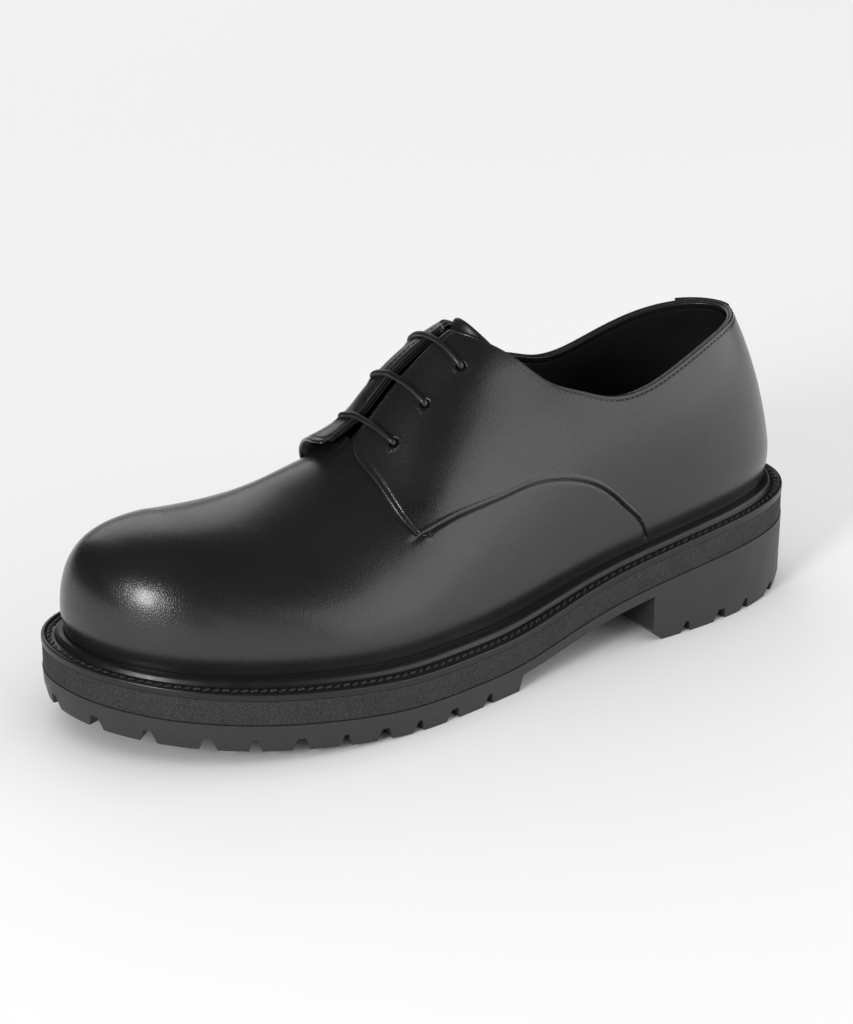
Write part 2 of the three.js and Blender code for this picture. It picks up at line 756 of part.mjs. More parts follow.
// Heel tab: a small strap from the back seam on to the inner side, below the top line
function heelTab() {
  const height = curve(toplineTable, byAlong, (row) => row.instep * instep + row.back * backHeight);
  const rows = 6;
  const columns = 10;
  const firstTurn = turnAt(-1, soleLength / 2 - tabLength, 0);
  const placeAt = (turn, drop) => {
    let low = 0.2;
    let high = 0.95;
    for (let i = 0; i < 26; i += 1) {
      const middle = (low + high) / 2;
      const p = lastPoint(-1, turn, middle);
      if (p.z < weltTop(p.y) + height(p.y / soleLength) - drop) low = middle;
      else high = middle;
    }
    return (low + high) / 2;
  };
  const faceAt = (offset) => {
    const grid = [];
    for (let r = 0; r <= rows; r += 1) {
      const row = [];
      for (let c = 0; c <= columns; c += 1) {
        const turn = 1 - ((1 - firstTurn) * c) / columns;
        const drop = tabDrop * (1 - tabTaper * (c / columns) ** 2);
        const up = placeAt(turn, tabBelowEdge + (drop * r) / rows);
        row.push(upperPoint(-1, turn, up, quarterThickness + gap + offset));
      }
      grid.push(row);
    }
    return grid;
  };
  return sheetBody(faceAt(0), faceAt(tabThickness));
}

// Lace: bars over the facings joined under them, up and down through the eyelets
function lace() {
  const above = laceDiameter / 2 + gap;
  const through = quarterThickness + wall;
  const rounding = above * 0.7;
  const barPoints = 8;
  const below = through + laceDiameter / 2 + gap;
  const points = [];
  const find = (row, side) => eyelets.find((one) => one.row === row && one.side === side);
  const lift = (eyelet, amount) => eyelet.centre.clone().addScaledVector(eyelet.out, amount);
  for (let row = 0; row < eyeletCount; row += 1) {
    const startSide = row % 2 === 0 ? 1 : -1;
    const start = find(row, startSide);
    const end = find(row, -startSide);
    points.push(lift(start, -below), lift(start, -through / 2), lift(start, rounding));
    for (let i = 1; i < barPoints; i += 1) {
      const x = THREE.MathUtils.lerp(start.centre.x, end.centre.x, i / barPoints);
      const y = THREE.MathUtils.lerp(start.centre.y, end.centre.y, i / barPoints);
      const side = x > facingCentre ? 1 : -1;
      const place = upperAt(side, x, y);
      points.push(upperPoint(side, place.turn, place.up, quarterThickness + above + gap));
    }
    points.push(lift(end, rounding), lift(end, -through / 2), lift(end, -below));
  }
  const path = new THREE.CatmullRomCurve3(points, false, "centripetal");
  const corners = [];
  for (let i = 0; i < laceSides; i += 1) {
    const angle = (2 * Math.PI * i) / laceSides;
    corners.push(new THREE.Vector2(Math.cos(angle), Math.sin(angle)).multiplyScalar(laceDiameter / 2));
  }
  const section = new THREE.Shape(corners);
  return new THREE.ExtrudeGeometry(section, { steps: laceSteps, extrudePath: path, bevelEnabled: false });
}

const rubber = { color: 0x17181a, roughness: 0.6, metalness: 0 };
const leather = { color: 0x0d0d0e, roughness: 0.28, metalness: 0 };
const pieces = [
  ["outsole", outsole(), rubber],
  ["midsole", midsole(), { color: 0x121315, roughness: 0.85, metalness: 0 }],
  ["welt", welt(), { color: 0x141517, roughness: 0.5, metalness: 0 }],
  ["insole", insole(), { color: 0x1b1a1a, roughness: 0.7, metalness: 0 }],
  ["upper", upper(), leather],
  ["tongue", tongue(), leather],
  ["heel_tab", heelTab(), leather],
  ["lace", lace(), { color: 0x0b0b0b, roughness: 0.45, metalness: 0 }],
];

// The tables are written from the last's own line, so the whole is set over the middle of the sole's width
const sideways = ring(outlinePoint).map((point) => point.x);
const middle = (Math.max(...sideways) + Math.min(...sideways)) / 2;

const shoe = new THREE.Group();
shoe.position.x = -middle;
pieces.forEach(([name, geometry, look]) => {
  const mesh = new THREE.Mesh(geometry, new THREE.MeshStandardMaterial(look));
  mesh.name = name;
  shoe.add(mesh);
});

export default shoe;
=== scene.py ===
import math

import bmesh
import bpy
import numpy as np
from mathutils import Matrix, Vector


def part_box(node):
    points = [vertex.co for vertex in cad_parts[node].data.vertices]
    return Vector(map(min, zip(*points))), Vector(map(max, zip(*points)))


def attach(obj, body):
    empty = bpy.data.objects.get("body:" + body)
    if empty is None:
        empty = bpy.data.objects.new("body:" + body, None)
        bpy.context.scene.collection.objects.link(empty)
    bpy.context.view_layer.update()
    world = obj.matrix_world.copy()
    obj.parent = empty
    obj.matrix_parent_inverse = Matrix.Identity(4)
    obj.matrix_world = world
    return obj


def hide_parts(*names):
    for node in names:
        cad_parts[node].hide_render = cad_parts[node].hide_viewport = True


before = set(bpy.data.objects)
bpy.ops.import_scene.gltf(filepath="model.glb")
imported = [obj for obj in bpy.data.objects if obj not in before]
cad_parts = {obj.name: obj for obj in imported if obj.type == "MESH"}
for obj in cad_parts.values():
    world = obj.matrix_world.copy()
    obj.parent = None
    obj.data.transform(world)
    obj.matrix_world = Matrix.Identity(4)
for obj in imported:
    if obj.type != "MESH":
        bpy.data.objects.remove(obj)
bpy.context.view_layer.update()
mm = 0.001

# Shoe's own sizes in millimetres: toe towards -Y, heel towards +Y, outer side towards +X
sole = {
    "length": 305, "ballWidth": 113, "heelWidth": 76, "heelLift": 41, "toeSpring": 10.4,
    "lugDepth": 10.8, "waistDepth": 4.3, "midsoleBand": 9.6, "weltEdge": 2.2, "weltWidth": 10, "ribRise": 3,
}
last = {
    "instep": 100, "backHeight": 72, "wall": 1.6, "quarterThickness": 1.4, "quarterTaper": 0.12,
    "facingCentre": -2.75, "facingGap": 2.0, "facingReach": 26, "throatAt": -31.5, "innerLead": 7,
    "cornerSharpness": 150, "belowFeather": -0.05, "dropPerUp": 100,
}
# Dip of the vamp in the throat: places along the shoe from the throat's line, and shares of up
throatDip = {"sink": 2.6, "from": -30, "full": -6, "until": -1, "gone": 12, "foot": 0.62, "top": 0.9}
# Share of up where the surface's own normal passes into the ridge's, so that both halves meet without a line
crestBlend = {"from": 0.985, "to": 0.999}
fineStep = 0.001
denseSteps = 4000
halvings = 34

# Sole outline: shares of the ball width and of the heel width, at a share of the length from its middle
outlineTable = {
    "along": [-0.5, -0.465, -0.4, -0.29, -0.15, 0, 0.14, 0.275, 0.39, 0.465, 0.5],
    "outBall": [-0.13, 0.155, 0.325, 0.458, 0.5, 0.3, 0.07, 0, 0, 0, 0],
    "outHeel": [0, 0, 0, 0, 0, 0.21, 0.45, 0.535, 0.475, 0.325, 0.035],
    "inBall": [-0.13, -0.345, -0.452, -0.54, -0.5, -0.24, -0.06, 0, 0, 0, 0],
    "inHeel": [0, 0, 0, 0, 0, -0.175, -0.36, -0.465, -0.4, -0.238, 0.035],
}
profileTable = {
    "along": [-0.5, -0.374, -0.226, -0.13, -0.06, 0.02, 0.15, 0.325, 0.42, 0.5],
    "spring": [1, 0.6, 0.22, 0.02, 0, 0, 0, 0, 0, 0],
    "rise": [0, 0, 0, 0, 0, 0.02, 0.43, 0.9, 0.985, 1],
}
weltTable = {
    "along": [-0.5, -0.45, -0.374, -0.05, 0.05, 0.15, 0.325, 0.45, 0.5],
    "shown": [0.74, 0.82, 0.97, 1, 0.9, 0.7, 0.62, 0.66, 0.68],
}
# Top line of the last: height above the welt as a share of the instep, side shift in shares of the ball width
ridgeTable = {
    "along": [-0.354, -0.262, -0.197, -0.15, -0.11, -0.06, 0, 0.06, 0.16, 0.321],
    "height": [0.475, 0.488, 0.548, 0.625, 0.7, 0.85, 0.985, 1.055, 1.075, 1.03],
    "shift": [-0.09, -0.085, -0.075, -0.065, -0.06, -0.055, -0.045, -0.03, 0, 0.015],
}
# Sections of the last: how far the side stands up and the top spreads before they turn, and the side's swell
sectionTable = {
    "along": [-0.47, -0.4, -0.354, -0.26, -0.16, -0.08, 0, 0.08, 0.16, 0.25, 0.33, 0.4, 0.47],
    "side": [0.72, 0.7, 0.66, 0.6, 0.5, 0.44, 0.42, 0.44, 0.48, 0.5, 0.48, 0.45, 0.42],
    "top": [0.8, 0.74, 0.68, 0.6, 0.54, 0.5, 0.48, 0.44, 0.42, 0.42, 0.42, 0.44, 0.45],
    "swell": [0.021, 0.019, 0.016, 0.007, 0.007, 0.004, 0.004, 0.007, 0.011, 0.013, 0.007, 0, -0.004],
}
# Top line of the quarters: height above the welt, as shares of the instep and of the back height
toplineTable = {
    "along": [-0.004, 0.012, 0.03, 0.05, 0.08, 0.11, 0.15, 0.19, 0.235, 0.29, 0.35, 0.41, 0.5],
    "instep": [1.075, 1.028, 1.012, 0.982, 0.91, 0.4, 0.1, 0, 0, 0, 0, 0, 0],
    "back": [0, 0, 0, 0, 0, 0.57, 0.87, 0.915, 0.88, 0.915, 0.97, 1, 1.01],
}
# Front edge of a quarter from its top corner down: distance from the facing's edge, place along the shoe
frontTable = {
    "across": [0, 1.25, 3.75, 7.75, 15.75, 22.75, 28.75, 33.75, 36.75],
    "at": [-30.8, -33.6, -35.9, -37.1, -36.8, -35.7, -34.3, -31.8, -29.1],
}
# Lower seam of a quarter over the vamp: height above the welt in shares of the instep, and the inner lead
seamTable = {
    "along": [-0.0955, -0.076, -0.042, -0.006, 0.031, 0.07, 0.106, 0.14, 0.175, 0.193, 0.21, 0.229, 0.24],
    "height": [0.431, 0.448, 0.474, 0.487, 0.491, 0.488, 0.459, 0.411, 0.332, 0.271, 0.205, 0.119, 0.028],
    "lead": [0.85, 0.7, 0.5, 0.3, 0.1, 0, 0, 0, 0, 0, 0, 0, 0],
}


def naturalCurve(xs, ys):
    xs, ys = np.array(xs, float), np.array(ys, float)
    count, step = len(xs), np.diff(xs)
    matrix, right = np.eye(count), np.zeros(count)
    for i in range(1, count - 1):
        matrix[i, i - 1:i + 2] = step[i - 1], 2 * (step[i - 1] + step[i]), step[i]
        right[i] = 6 * ((ys[i + 1] - ys[i]) / step[i] - (ys[i] - ys[i - 1]) / step[i - 1])
    bend = np.linalg.solve(matrix, right)

    def at(x):
        x = np.clip(x, xs[0], xs[-1])
        i = np.clip(np.searchsorted(xs, x) - 1, 0, count - 2)
        before, after, h = xs[i + 1] - x, x - xs[i], step[i]
        cubic = (bend[i] * before ** 3 + bend[i + 1] * after ** 3) / (6 * h)
        return cubic + (ys[i] / h - bend[i] * h / 6) * before + (ys[i + 1] / h - bend[i + 1] * h / 6) * after

    return at


def column(table, name):
    return naturalCurve(table["along"], table[name])


def edgeCurve(ball, heel):
    turns = np.arccos(-2 * np.array(outlineTable["along"])) / math.pi
    ballPart = np.array(outlineTable[ball]) * sole["ballWidth"]
    heelPart = np.array(outlineTable[heel]) * sole["heelWidth"]
    return naturalCurve(turns, ballPart + heelPart)


outerEdge, innerEdge = edgeCurve("outBall", "outHeel"), edgeCurve("inBall", "inHeel")
springShare, riseShare = column(profileTable, "spring"), column(profileTable, "rise")
weltShare = column(weltTable, "shown")
ridgeShare, shiftShare = column(ridgeTable, "height"), column(ridgeTable, "shift")
sideShare, topShare = column(sectionTable, "side"), column(sectionTable, "top")
swellShare = column(sectionTable, "swell")
toplineShare = naturalCurve(toplineTable["along"], np.array(toplineTable["instep"]) * last["instep"]
                            + np.array(toplineTable["back"]) * last["backHeight"])
frontCurve = naturalCurve(frontTable["across"], frontTable["at"])
seamCurve, leadCurve = column(seamTable, "height"), column(seamTable, "lead")
stack = sole["lugDepth"] + sole["midsoleBand"] + sole["weltEdge"]
toeCentre, heelCentre = ridgeTable["along"][0] * sole["length"], ridgeTable["along"][-1] * sole["length"]


def smooth(x, low, high):
    t = np.clip((np.asarray(x, float) - low) / (high - low), 0, 1)
    return t * t * (3 - 2 * t)


def springAt(y):
    return np.maximum(0, springShare(np.asarray(y) / sole["length"])) * sole["toeSpring"]


def weltTop(y):
    return stack + springAt(y) + riseShare(np.asarray(y) / sole["length"]) * (sole["heelLift"] - stack)


def midsoleTop(y):
    return weltTop(y) - sole["weltEdge"]


def midsoleBottom(y):
    return midsoleTop(y) - sole["midsoleBand"]


# Sole outline in plan: side is 1 outside and -1 inside the foot, turn runs from 0 at the toe to 1 at the heel
def outlineAt(side, turn):
    x = np.where(np.asarray(side) > 0, outerEdge(turn), innerEdge(turn))
    return np.stack([x, -sole["length"] / 2 * np.cos(np.pi * turn)], -1)


def outward(side, turn):
    turn = np.clip(turn, fineStep / 10, 1 - fineStep / 10)
    along = outlineAt(side, np.minimum(1, turn + fineStep)) - outlineAt(side, np.maximum(0, turn - fineStep))
    out = np.stack([along[..., 1], -along[..., 0]], -1) * np.asarray(side)[..., None]
    return out / np.linalg.norm(out, axis=-1, keepdims=True)


def insetAt(side, turn, distance):
    return outlineAt(side, turn) - outward(side, turn) * np.asarray(distance)[..., None]


# Width of the welt that shows round the upper
def weltShown(side, turn):
    return sole["weltWidth"] * weltShare(outlineAt(side, turn)[..., 1] / sole["length"])


# Feather line, where the upper meets the welt's rib
def featherAt(side, turn):
    plan = insetAt(side, turn, weltShown(side, turn))
    return np.concatenate([plan, (weltTop(plan[..., 1]) + sole["ribRise"])[..., None]], -1)


def ridgeAt(y):
    y = np.clip(y, toeCentre, heelCentre)
    share = y / sole["length"]
    height = weltTop(y) + ridgeShare(share) * last["instep"]
    return np.stack([shiftShare(share) * sole["ballWidth"], y, height], -1)


# Last's surface: up runs from 0 at the feather line to 1 on the ridge, and below 0 it goes straight down
def lastAt(side, turn, up):
    side, turn, up = np.broadcast_arrays(side, turn, up)
    foot = featherAt(side, turn)
    top = ridgeAt(foot[..., 1])
    share = foot[..., 1] / sole["length"]
    out = outward(side, turn) * (swellShare(share) * sole["ballWidth"])[..., None]
    rising = foot.copy()
    rising[..., :2] += out
    rising[..., 2] += sideShare(share) * (top[..., 2] - foot[..., 2])
    turning = top.copy()
    turning[..., :2] += (foot[..., :2] - top[..., :2]) * topShare(share)[..., None]
    t = np.clip(up, 0, 1)[..., None]
    point = foot * (1 - t) ** 3 + rising * 3 * t * (1 - t) ** 2 + turning * 3 * t * t * (1 - t) + top * t ** 3
    point[..., 2] += np.minimum(up, 0) * last["dropPerUp"]
    return point


def lastNormal(side, turn, up):
    side, turn, up = np.broadcast_arrays(side, turn, up)
    early, low = np.clip(turn, fineStep / 10, 1 - fineStep / 10), np.clip(up, 0, 1 - fineStep)
    along = (lastAt(side, np.minimum(1, early + fineStep), low)
             - lastAt(side, np.maximum(0, early - fineStep), low))
    rise = lastAt(side, early, low + fineStep) - lastAt(side, early, np.maximum(0, low - fineStep))
    normal = np.cross(along, rise) * side[..., None]
    normal /= np.maximum(1e-12, np.linalg.norm(normal, axis=-1, keepdims=True))
    y = featherAt(side, turn)[..., 1]
    onRidge = (y > toeCentre) & (y < heelCentre)
    slope = np.where(onRidge, ridgeAt(y + 0.5)[..., 2] - ridgeAt(y - 0.5)[..., 2], 0)
    crest = np.stack([np.zeros_like(slope), -slope, np.ones_like(slope)], -1)
    crest /= np.linalg.norm(crest, axis=-1, keepdims=True)
    share = smooth(up, crestBlend["from"], crestBlend["to"])[..., None]
    blended = normal * (1 - share) + crest * share
    return blended / np.linalg.norm(blended, axis=-1, keepdims=True)


def upperAt(side, turn, up, offset):
    return lastAt(side, turn, up) + lastNormal(side, turn, up) * np.asarray(offset)[..., None]


# Distance along the feather line, so that columns keep their spacing round the toe and the heel
denseTurn = np.linspace(0, 1, denseSteps + 1)
featherLine = {side: featherAt(side, denseTurn) for side in (1, -1)}
featherLength = {}
for side in (1, -1):
    steps = np.linalg.norm(np.diff(featherLine[side], axis=0), axis=1)
    featherLength[side] = np.concatenate([[0], np.cumsum(steps)])


def lengthAtY(side, y):
    return np.interp(y, featherLine[side][:, 1], featherLength[side])


def turnAtLength(side, length):
    return np.interp(length, featherLength[side], denseTurn)


# Height on the last up to which a test holds, found by halving
def upWhere(side, turn, below, low=0.0):
    low, high = np.full(np.shape(turn), low), np.ones(np.shape(turn))
    for _ in range(halvings):
        middle = (low + high) / 2
        under = below(lastAt(side, turn, middle))
        low, high = np.where(under, middle, low), np.where(under, high, middle)
    return (low + high) / 2


def upAtX(side, turn, x):
    aboveSwell = 0.3
    return upWhere(side, turn, lambda point: (point[..., 0] - x) * side > 0, aboveSwell)


def upAtTopline(side, turn, drop=0.0):
    def below(point):
        return point[..., 2] < weltTop(point[..., 1]) + toplineShare(point[..., 1] / sole["length"]) - drop
    return upWhere(side, turn, below)


# Upper border of a quarter: the facing's edge in front, then the top line, rounded where they meet
def topBorder(side, y, fromEdge=0.0, drop=0.0):
    turn = turnAtLength(side, lengthAtY(side, y))
    facing = upAtX(side, turn, facingX(side, fromEdge))
    line = np.where(y < last["throatAt"] + last["facingReach"], 1.0, upAtTopline(side, turn, drop))
    sharpness = last["cornerSharpness"]
    return -np.logaddexp(-facing * sharpness, -line * sharpness) / sharpness


# The inner side's front lies further forward, by this length
def leadOf(side):
    return 0 if side > 0 else last["innerLead"]


def upAtSeam(side, y):
    turn = turnAtLength(side, lengthAtY(side, y))
    share = (y + leadOf(side) * leadCurve(y / sole["length"])) / sole["length"]
    return upWhere(side, turn, lambda point: point[..., 2] < weltTop(y) + seamCurve(share) * last["instep"])


def vampDip(y, up):
    fromThroat = np.asarray(y) - last["throatAt"]
    front = smooth(fromThroat, throatDip["from"], throatDip["full"])
    rear = 1 - smooth(fromThroat, throatDip["until"], throatDip["gone"])
    return throatDip["sink"] * front * rear * smooth(up, throatDip["foot"], throatDip["top"])


def facingX(side, extra=0.0):
    return last["facingCentre"] + side * (last["facingGap"] / 2 + extra)


# Middle of the sole's width, which the part's origin lies under
everyX = np.concatenate([outerEdge(denseTurn), innerEdge(denseTurn)])
sideways = -(everyX.max() + everyX.min()) / 2


def inFrame(points):
    return (np.asarray(points, float) + [sideways, 0, 0]) * mm


# Length and width of the imported midsole, printed
soleLow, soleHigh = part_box("midsole")
print("sole in the frame", round((soleHigh - soleLow).y / mm, 1), "mm long,",
      round((soleHigh - soleLow).x / mm, 1), "mm wide")


def meshObject(name, bm, material):
    mesh = bpy.data.meshes.new(name)
    bm.to_mesh(mesh)
    bm.free()
    mesh.polygons.foreach_set("use_smooth", [True] * len(mesh.polygons))
    mesh.materials.append(material)
    piece = bpy.data.objects.new(name, mesh)
    bpy.context.scene.collection.objects.link(piece)
    return piece


# A grid of points, rows by columns, laid over a bmesh grid; coinciding borders are merged
def gridBmesh(points, merge=0.002):
    rows, columns = points.shape[:2]
    bm = bmesh.new()
    bmesh.ops.create_grid(bm, x_segments=columns - 1, y_segments=rows - 1, size=1)
    for vert, place in zip(bm.verts, inFrame(points).reshape(-1, 3)):
        vert.co = place
    bmesh.ops.remove_doubles(bm, verts=bm.verts, dist=merge * mm)
    bmesh.ops.dissolve_degenerate(bm, edges=bm.edges, dist=merge * mm * 0.1)
    return bm


def addPiece(piece, slotName, *nodes):
    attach(piece, "root")
    if nodes:
        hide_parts(*nodes)
    print("made", piece.name, len(piece.data.polygons), "faces")
    return piece


def addModifier(piece, kind, **settings):
    modifier = piece.modifiers.new(kind.title(), kind)
    for key, value in settings.items():
        setattr(modifier, key, value)
    return modifier


def applyModifiers(piece):
    bpy.context.view_layer.update()
    evaluated = piece.evaluated_get(bpy.context.evaluated_depsgraph_get())
    piece.data = bpy.data.meshes.new_from_object(evaluated)
    piece.modifiers.clear()


# Rounding of an edge: distances in from it and the share of the thickness reached there
def edgeRounding(radius, square, count):
    angle = np.linspace(0, math.pi / 2, count + 1)
    return radius * (1 - np.cos(angle) ** (2 / square)), np.sin(angle) ** (2 / square)


# Places over a length: the first edge's rounding, even steps between, and the final edge's rounding
def spread(length, first, final, count):
    inner = np.linspace(first[0][-1], length - final[0][-1], count + 1)[1:-1]
    places = np.concatenate([first[0], inner, length - final[0][::-1]])
    shares = np.concatenate([first[1], np.ones(len(inner)), final[1][::-1]])
    return places, shares


# Edge of two sheets laid together: two small beads with a fine groove between them
def layeredEdge():
    return np.array([0.34, 0.1, 0.0, 0.04, 0.16, 0.36]), np.array([0.0, 0.12, 0.32, 0.66, 0.9, 1.0])


# An edge folded under is a little thicker than the leather behind it
def foldedEdge(radius, width, bulge):
    places, shares = edgeRounding(radius, 2, 6)
    behind = np.linspace(0, 1, 6)[1:]
    return (np.concatenate([places, radius + width * behind]),
            np.concatenate([shares * (1 + bulge), 1 + bulge * (1 - smooth(behind, 0.3, 1))]))


# A line pressed into the leather beside an edge
def pressedLine(edge, at, width, dip):
    offsets, dips = np.array([-1, -0.5, 0, 0.5, 1]), np.array([0, 0.5, 1, 0.5, 0])
    return np.concatenate([edge[0], at + width * offsets]), np.concatenate([edge[1], 1 - dip * dips])


noRounding = (np.array([0.0]), np.array([1.0]))


# Points on a line at given shares of its length
def resample(line, places):
    steps = np.concatenate([[0], np.cumsum(np.linalg.norm(np.diff(line, axis=0), axis=1))])
    places = np.clip(places / places[-1], 0, 1) * steps[-1]
    return np.stack([np.interp(places, steps, line[:, i]) for i in range(line.shape[1])], -1)


borderSteps = 60


# A patch of the last between four border lines in (length along the feather line, up)
def lastPatch(side, lower, upper, front, rear, settings):
    def onSurface(line):
        return lastAt(side, turnAtLength(side, line[..., 0]), line[..., 1])

    def lineLength(line):
        return np.linalg.norm(np.diff(onSurface(line), axis=0), axis=1).sum()

    def byLength(line, places):
        steps = np.linalg.norm(np.diff(onSurface(line), axis=0), axis=1)
        reach = np.concatenate([[0], np.cumsum(steps)])
        return np.stack([np.interp(places, reach, line[:, i]) for i in range(2)], -1)

    lowerLength, upperLength = lineLength(lower), lineLength(upper)
    alongLow, shareAlong = spread(lowerLength, settings["front"], settings["rear"], settings["columns"])
    alongHigh, _ = spread(upperLength, settings["front"], settings["rear"], settings["columns"])
    low, high = byLength(lower, alongLow), byLength(upper, alongHigh)
    s = np.linspace(0, 1, len(low))[None, :, None]
    frontLine = byLength(front, np.linspace(0, lineLength(front), borderSteps + 1))[:, None]
    rearLine = byLength(rear, np.linspace(0, lineLength(rear), borderSteps + 1))[:, None]
    t = np.linspace(0, 1, borderSteps + 1)[:, None, None]
    flat = low[None] * (1 - t) + high[None] * t
    frontPull = frontLine - (low[0] * (1 - t) + high[0] * t)
    rearPull = rearLine - (low[-1] * (1 - t) + high[-1] * t)
    places = flat + frontPull * (1 - s) ** settings.get("fade", 3) + rearPull * s ** 3
    surface = onSurface(places)
    reach = np.linalg.norm(np.diff(surface, axis=0), axis=2)
    reach = np.concatenate([np.zeros((1, reach.shape[1])), np.cumsum(reach, axis=0)])
    made, shares = [], []
    for c in range(places.shape[1]):
        rows, shareUp = spread(reach[-1, c], settings["lower"], settings["upper"], settings["rows"])
        made.append(np.stack([np.interp(rows, reach[:, c], places[:, c, i]) for i in range(2)], -1))
        shares.append(shareUp * shareAlong[c])
    made, shares = np.stack(made, 1), np.stack(shares, 1)
    return turnAtLength(side, made[..., 0]), made[..., 1], shares


# Both faces of a sheet of leather as one closed shell
def shellBmesh(outer, inner):
    bm = gridBmesh(np.concatenate([outer, inner[::-1]]))
    bmesh.ops.recalc_face_normals(bm, faces=bm.faces)
    return bm


def srgb(hexColour):
    channels = [int(hexColour[i:i + 2], 16) / 255 for i in (1, 3, 5)]
    return tuple(c / 12.92 if c <= 0.04045 else ((c + 0.055) / 1.055) ** 2.4 for c in channels) + (1.0,)


def addNode(tree, kind, options=None, inputs=None):
    node = tree.nodes.new(kind)
    for key, value in (options or {}).items():
        setattr(node, key, value)
    for key, value in (inputs or {}).items():
        if isinstance(value, bpy.types.NodeSocket):
            tree.links.new(value, node.inputs[key])
        else:
            node.inputs[key].default_value = value
    return node


def newMaterial(name, colour, roughness, **sockets):
    material = bpy.data.materials.new(name)
    material.use_nodes = True
    shader = material.node_tree.nodes["Principled BSDF"]
    shader.inputs["Base Color"].default_value = srgb(colour)
    shader.inputs["Roughness"].default_value = roughness
    for key, value in sockets.items():
        shader.inputs[key].default_value = value
    return material, material.node_tree, shader


# Full-grain calf, drum-dyed and polished: fine pores, a soft roll of the hide, a thin wax gloss
def polishedCalf(name, colour, dull, roughness, grain, gloss):
    # pores are drawn coarser than a calf's own, which would be too fine to show
    poreSize, fineSize, rollSize, grainDepth = 0.95, 0.55, 26, 0.07
    material, tree, shader = newMaterial(name, colour, roughness, **{
        "Coat Weight": gloss, "Coat Roughness": 0.2, "IOR": 1.5, "Specular IOR Level": 0.5})
    where = addNode(tree, "ShaderNodeTexCoord").outputs["Object"]
    pores = addNode(tree, "ShaderNodeTexVoronoi", {"feature": "DISTANCE_TO_EDGE"},
                    {"Vector": where, "Scale": 1 / (poreSize * mm), "Randomness": 1.0})
    poreEdge = addNode(tree, "ShaderNodeMapRange", None,
                       {"Value": pores.outputs["Distance"], "From Min": 0.0, "From Max": 0.22})
    fine = addNode(tree, "ShaderNodeTexNoise", None,
                   {"Vector": where, "Scale": 1 / (fineSize * mm), "Detail": 3.0})
    roll = addNode(tree, "ShaderNodeTexNoise", None,
                   {"Vector": where, "Scale": 1 / (rollSize * mm), "Detail": 2.0})
    height = addNode(tree, "ShaderNodeMath", {"operation": "MULTIPLY_ADD"},
                     {0: poreEdge.outputs["Result"], 1: 0.45, 2: fine.outputs["Fac"]})
    bump = addNode(tree, "ShaderNodeBump", None,
                   {"Strength": grain, "Distance": grainDepth * mm, "Height": height.outputs["Value"]})
    rough = addNode(tree, "ShaderNodeMapRange", None,
                    {"Value": roll.outputs["Fac"], "From Min": 0.3, "From Max": 0.7,
                     "To Min": roughness - 0.03, "To Max": roughness + 0.05})
    shade = addNode(tree, "ShaderNodeMix", {"data_type": "RGBA"},
                    {"Factor": roll.outputs["Fac"], "A": srgb(colour), "B": srgb(dull)})
    tree.links.new(rough.outputs["Result"], shader.inputs["Roughness"])
    tree.links.new(shade.outputs["Result"], shader.inputs["Base Color"])
    tree.links.new(bump.outputs["Normal"], shader.inputs["Normal"])
    return material


# Rubber out of a steel mould: the mould's grit gives a fine matt speckle
def mouldedRubber(name, colour, speck, roughness, grit, depth):
    cloudSize = 9
    material, tree, shader = newMaterial(name, colour, roughness, **{"IOR": 1.52, "Specular IOR Level": 0.4})
    where = addNode(tree, "ShaderNodeTexCoord").outputs["Object"]
    fine = addNode(tree, "ShaderNodeTexNoise", None,
                   {"Vector": where, "Scale": 1 / (grit * mm), "Detail": 2.0})
    broad = addNode(tree, "ShaderNodeTexNoise", None,
                    {"Vector": where, "Scale": 1 / (cloudSize * mm), "Detail": 3.0})
    mask = addNode(tree, "ShaderNodeMapRange", None,
                   {"Value": fine.outputs["Fac"], "From Min": 0.42, "From Max": 0.68})
    shade = addNode(tree, "ShaderNodeMix", {"data_type": "RGBA"},
                    {"Factor": mask.outputs["Result"], "A": srgb(colour), "B": srgb(speck)})
    rough = addNode(tree, "ShaderNodeMapRange", None,
                    {"Value": broad.outputs["Fac"], "From Min": 0.35, "From Max": 0.65,
                     "To Min": roughness - 0.05, "To Max": min(1, roughness + 0.05)})
    bump = addNode(tree, "ShaderNodeBump", None,
                   {"Strength": 0.6, "Distance": depth * mm, "Height": fine.outputs["Fac"]})
    tree.links.new(shade.outputs["Result"], shader.inputs["Base Color"])
    tree.links.new(rough.outputs["Result"], shader.inputs["Roughness"])
    tree.links.new(bump.outputs["Normal"], shader.inputs["Normal"])
    return material


# Pigskin lining, dyed through: matt, with small open pores
def liningLeather(name, colour, dull):
    poreSize, napSize, poreDepth = 1.1, 7, 0.06
    material, tree, shader = newMaterial(name, colour, 0.62, **{"IOR": 1.45, "Specular IOR Level": 0.35})
    where = addNode(tree, "ShaderNodeTexCoord").outputs["Object"]
    pores = addNode(tree, "ShaderNodeTexVoronoi", None, {"Vector": where, "Scale": 1 / (poreSize * mm)})
    hole = addNode(tree, "ShaderNodeMapRange", None,
                   {"Value": pores.outputs["Distance"], "From Min": 0.08, "From Max": 0.3})
    nap = addNode(tree, "ShaderNodeTexNoise", None,
                  {"Vector": where, "Scale": 1 / (napSize * mm), "Detail": 5.0})
    shade = addNode(tree, "ShaderNodeMix", {"data_type": "RGBA"},
                    {"Factor": nap.outputs["Fac"], "A": srgb(colour), "B": srgb(dull)})
    bump = addNode(tree, "ShaderNodeBump", None,
                   {"Strength": 0.5, "Distance": poreDepth * mm, "Height": hole.outputs["Result"]})
    tree.links.new(shade.outputs["Result"], shader.inputs["Base Color"])
    tree.links.new(bump.outputs["Normal"], shader.inputs["Normal"])
    return material


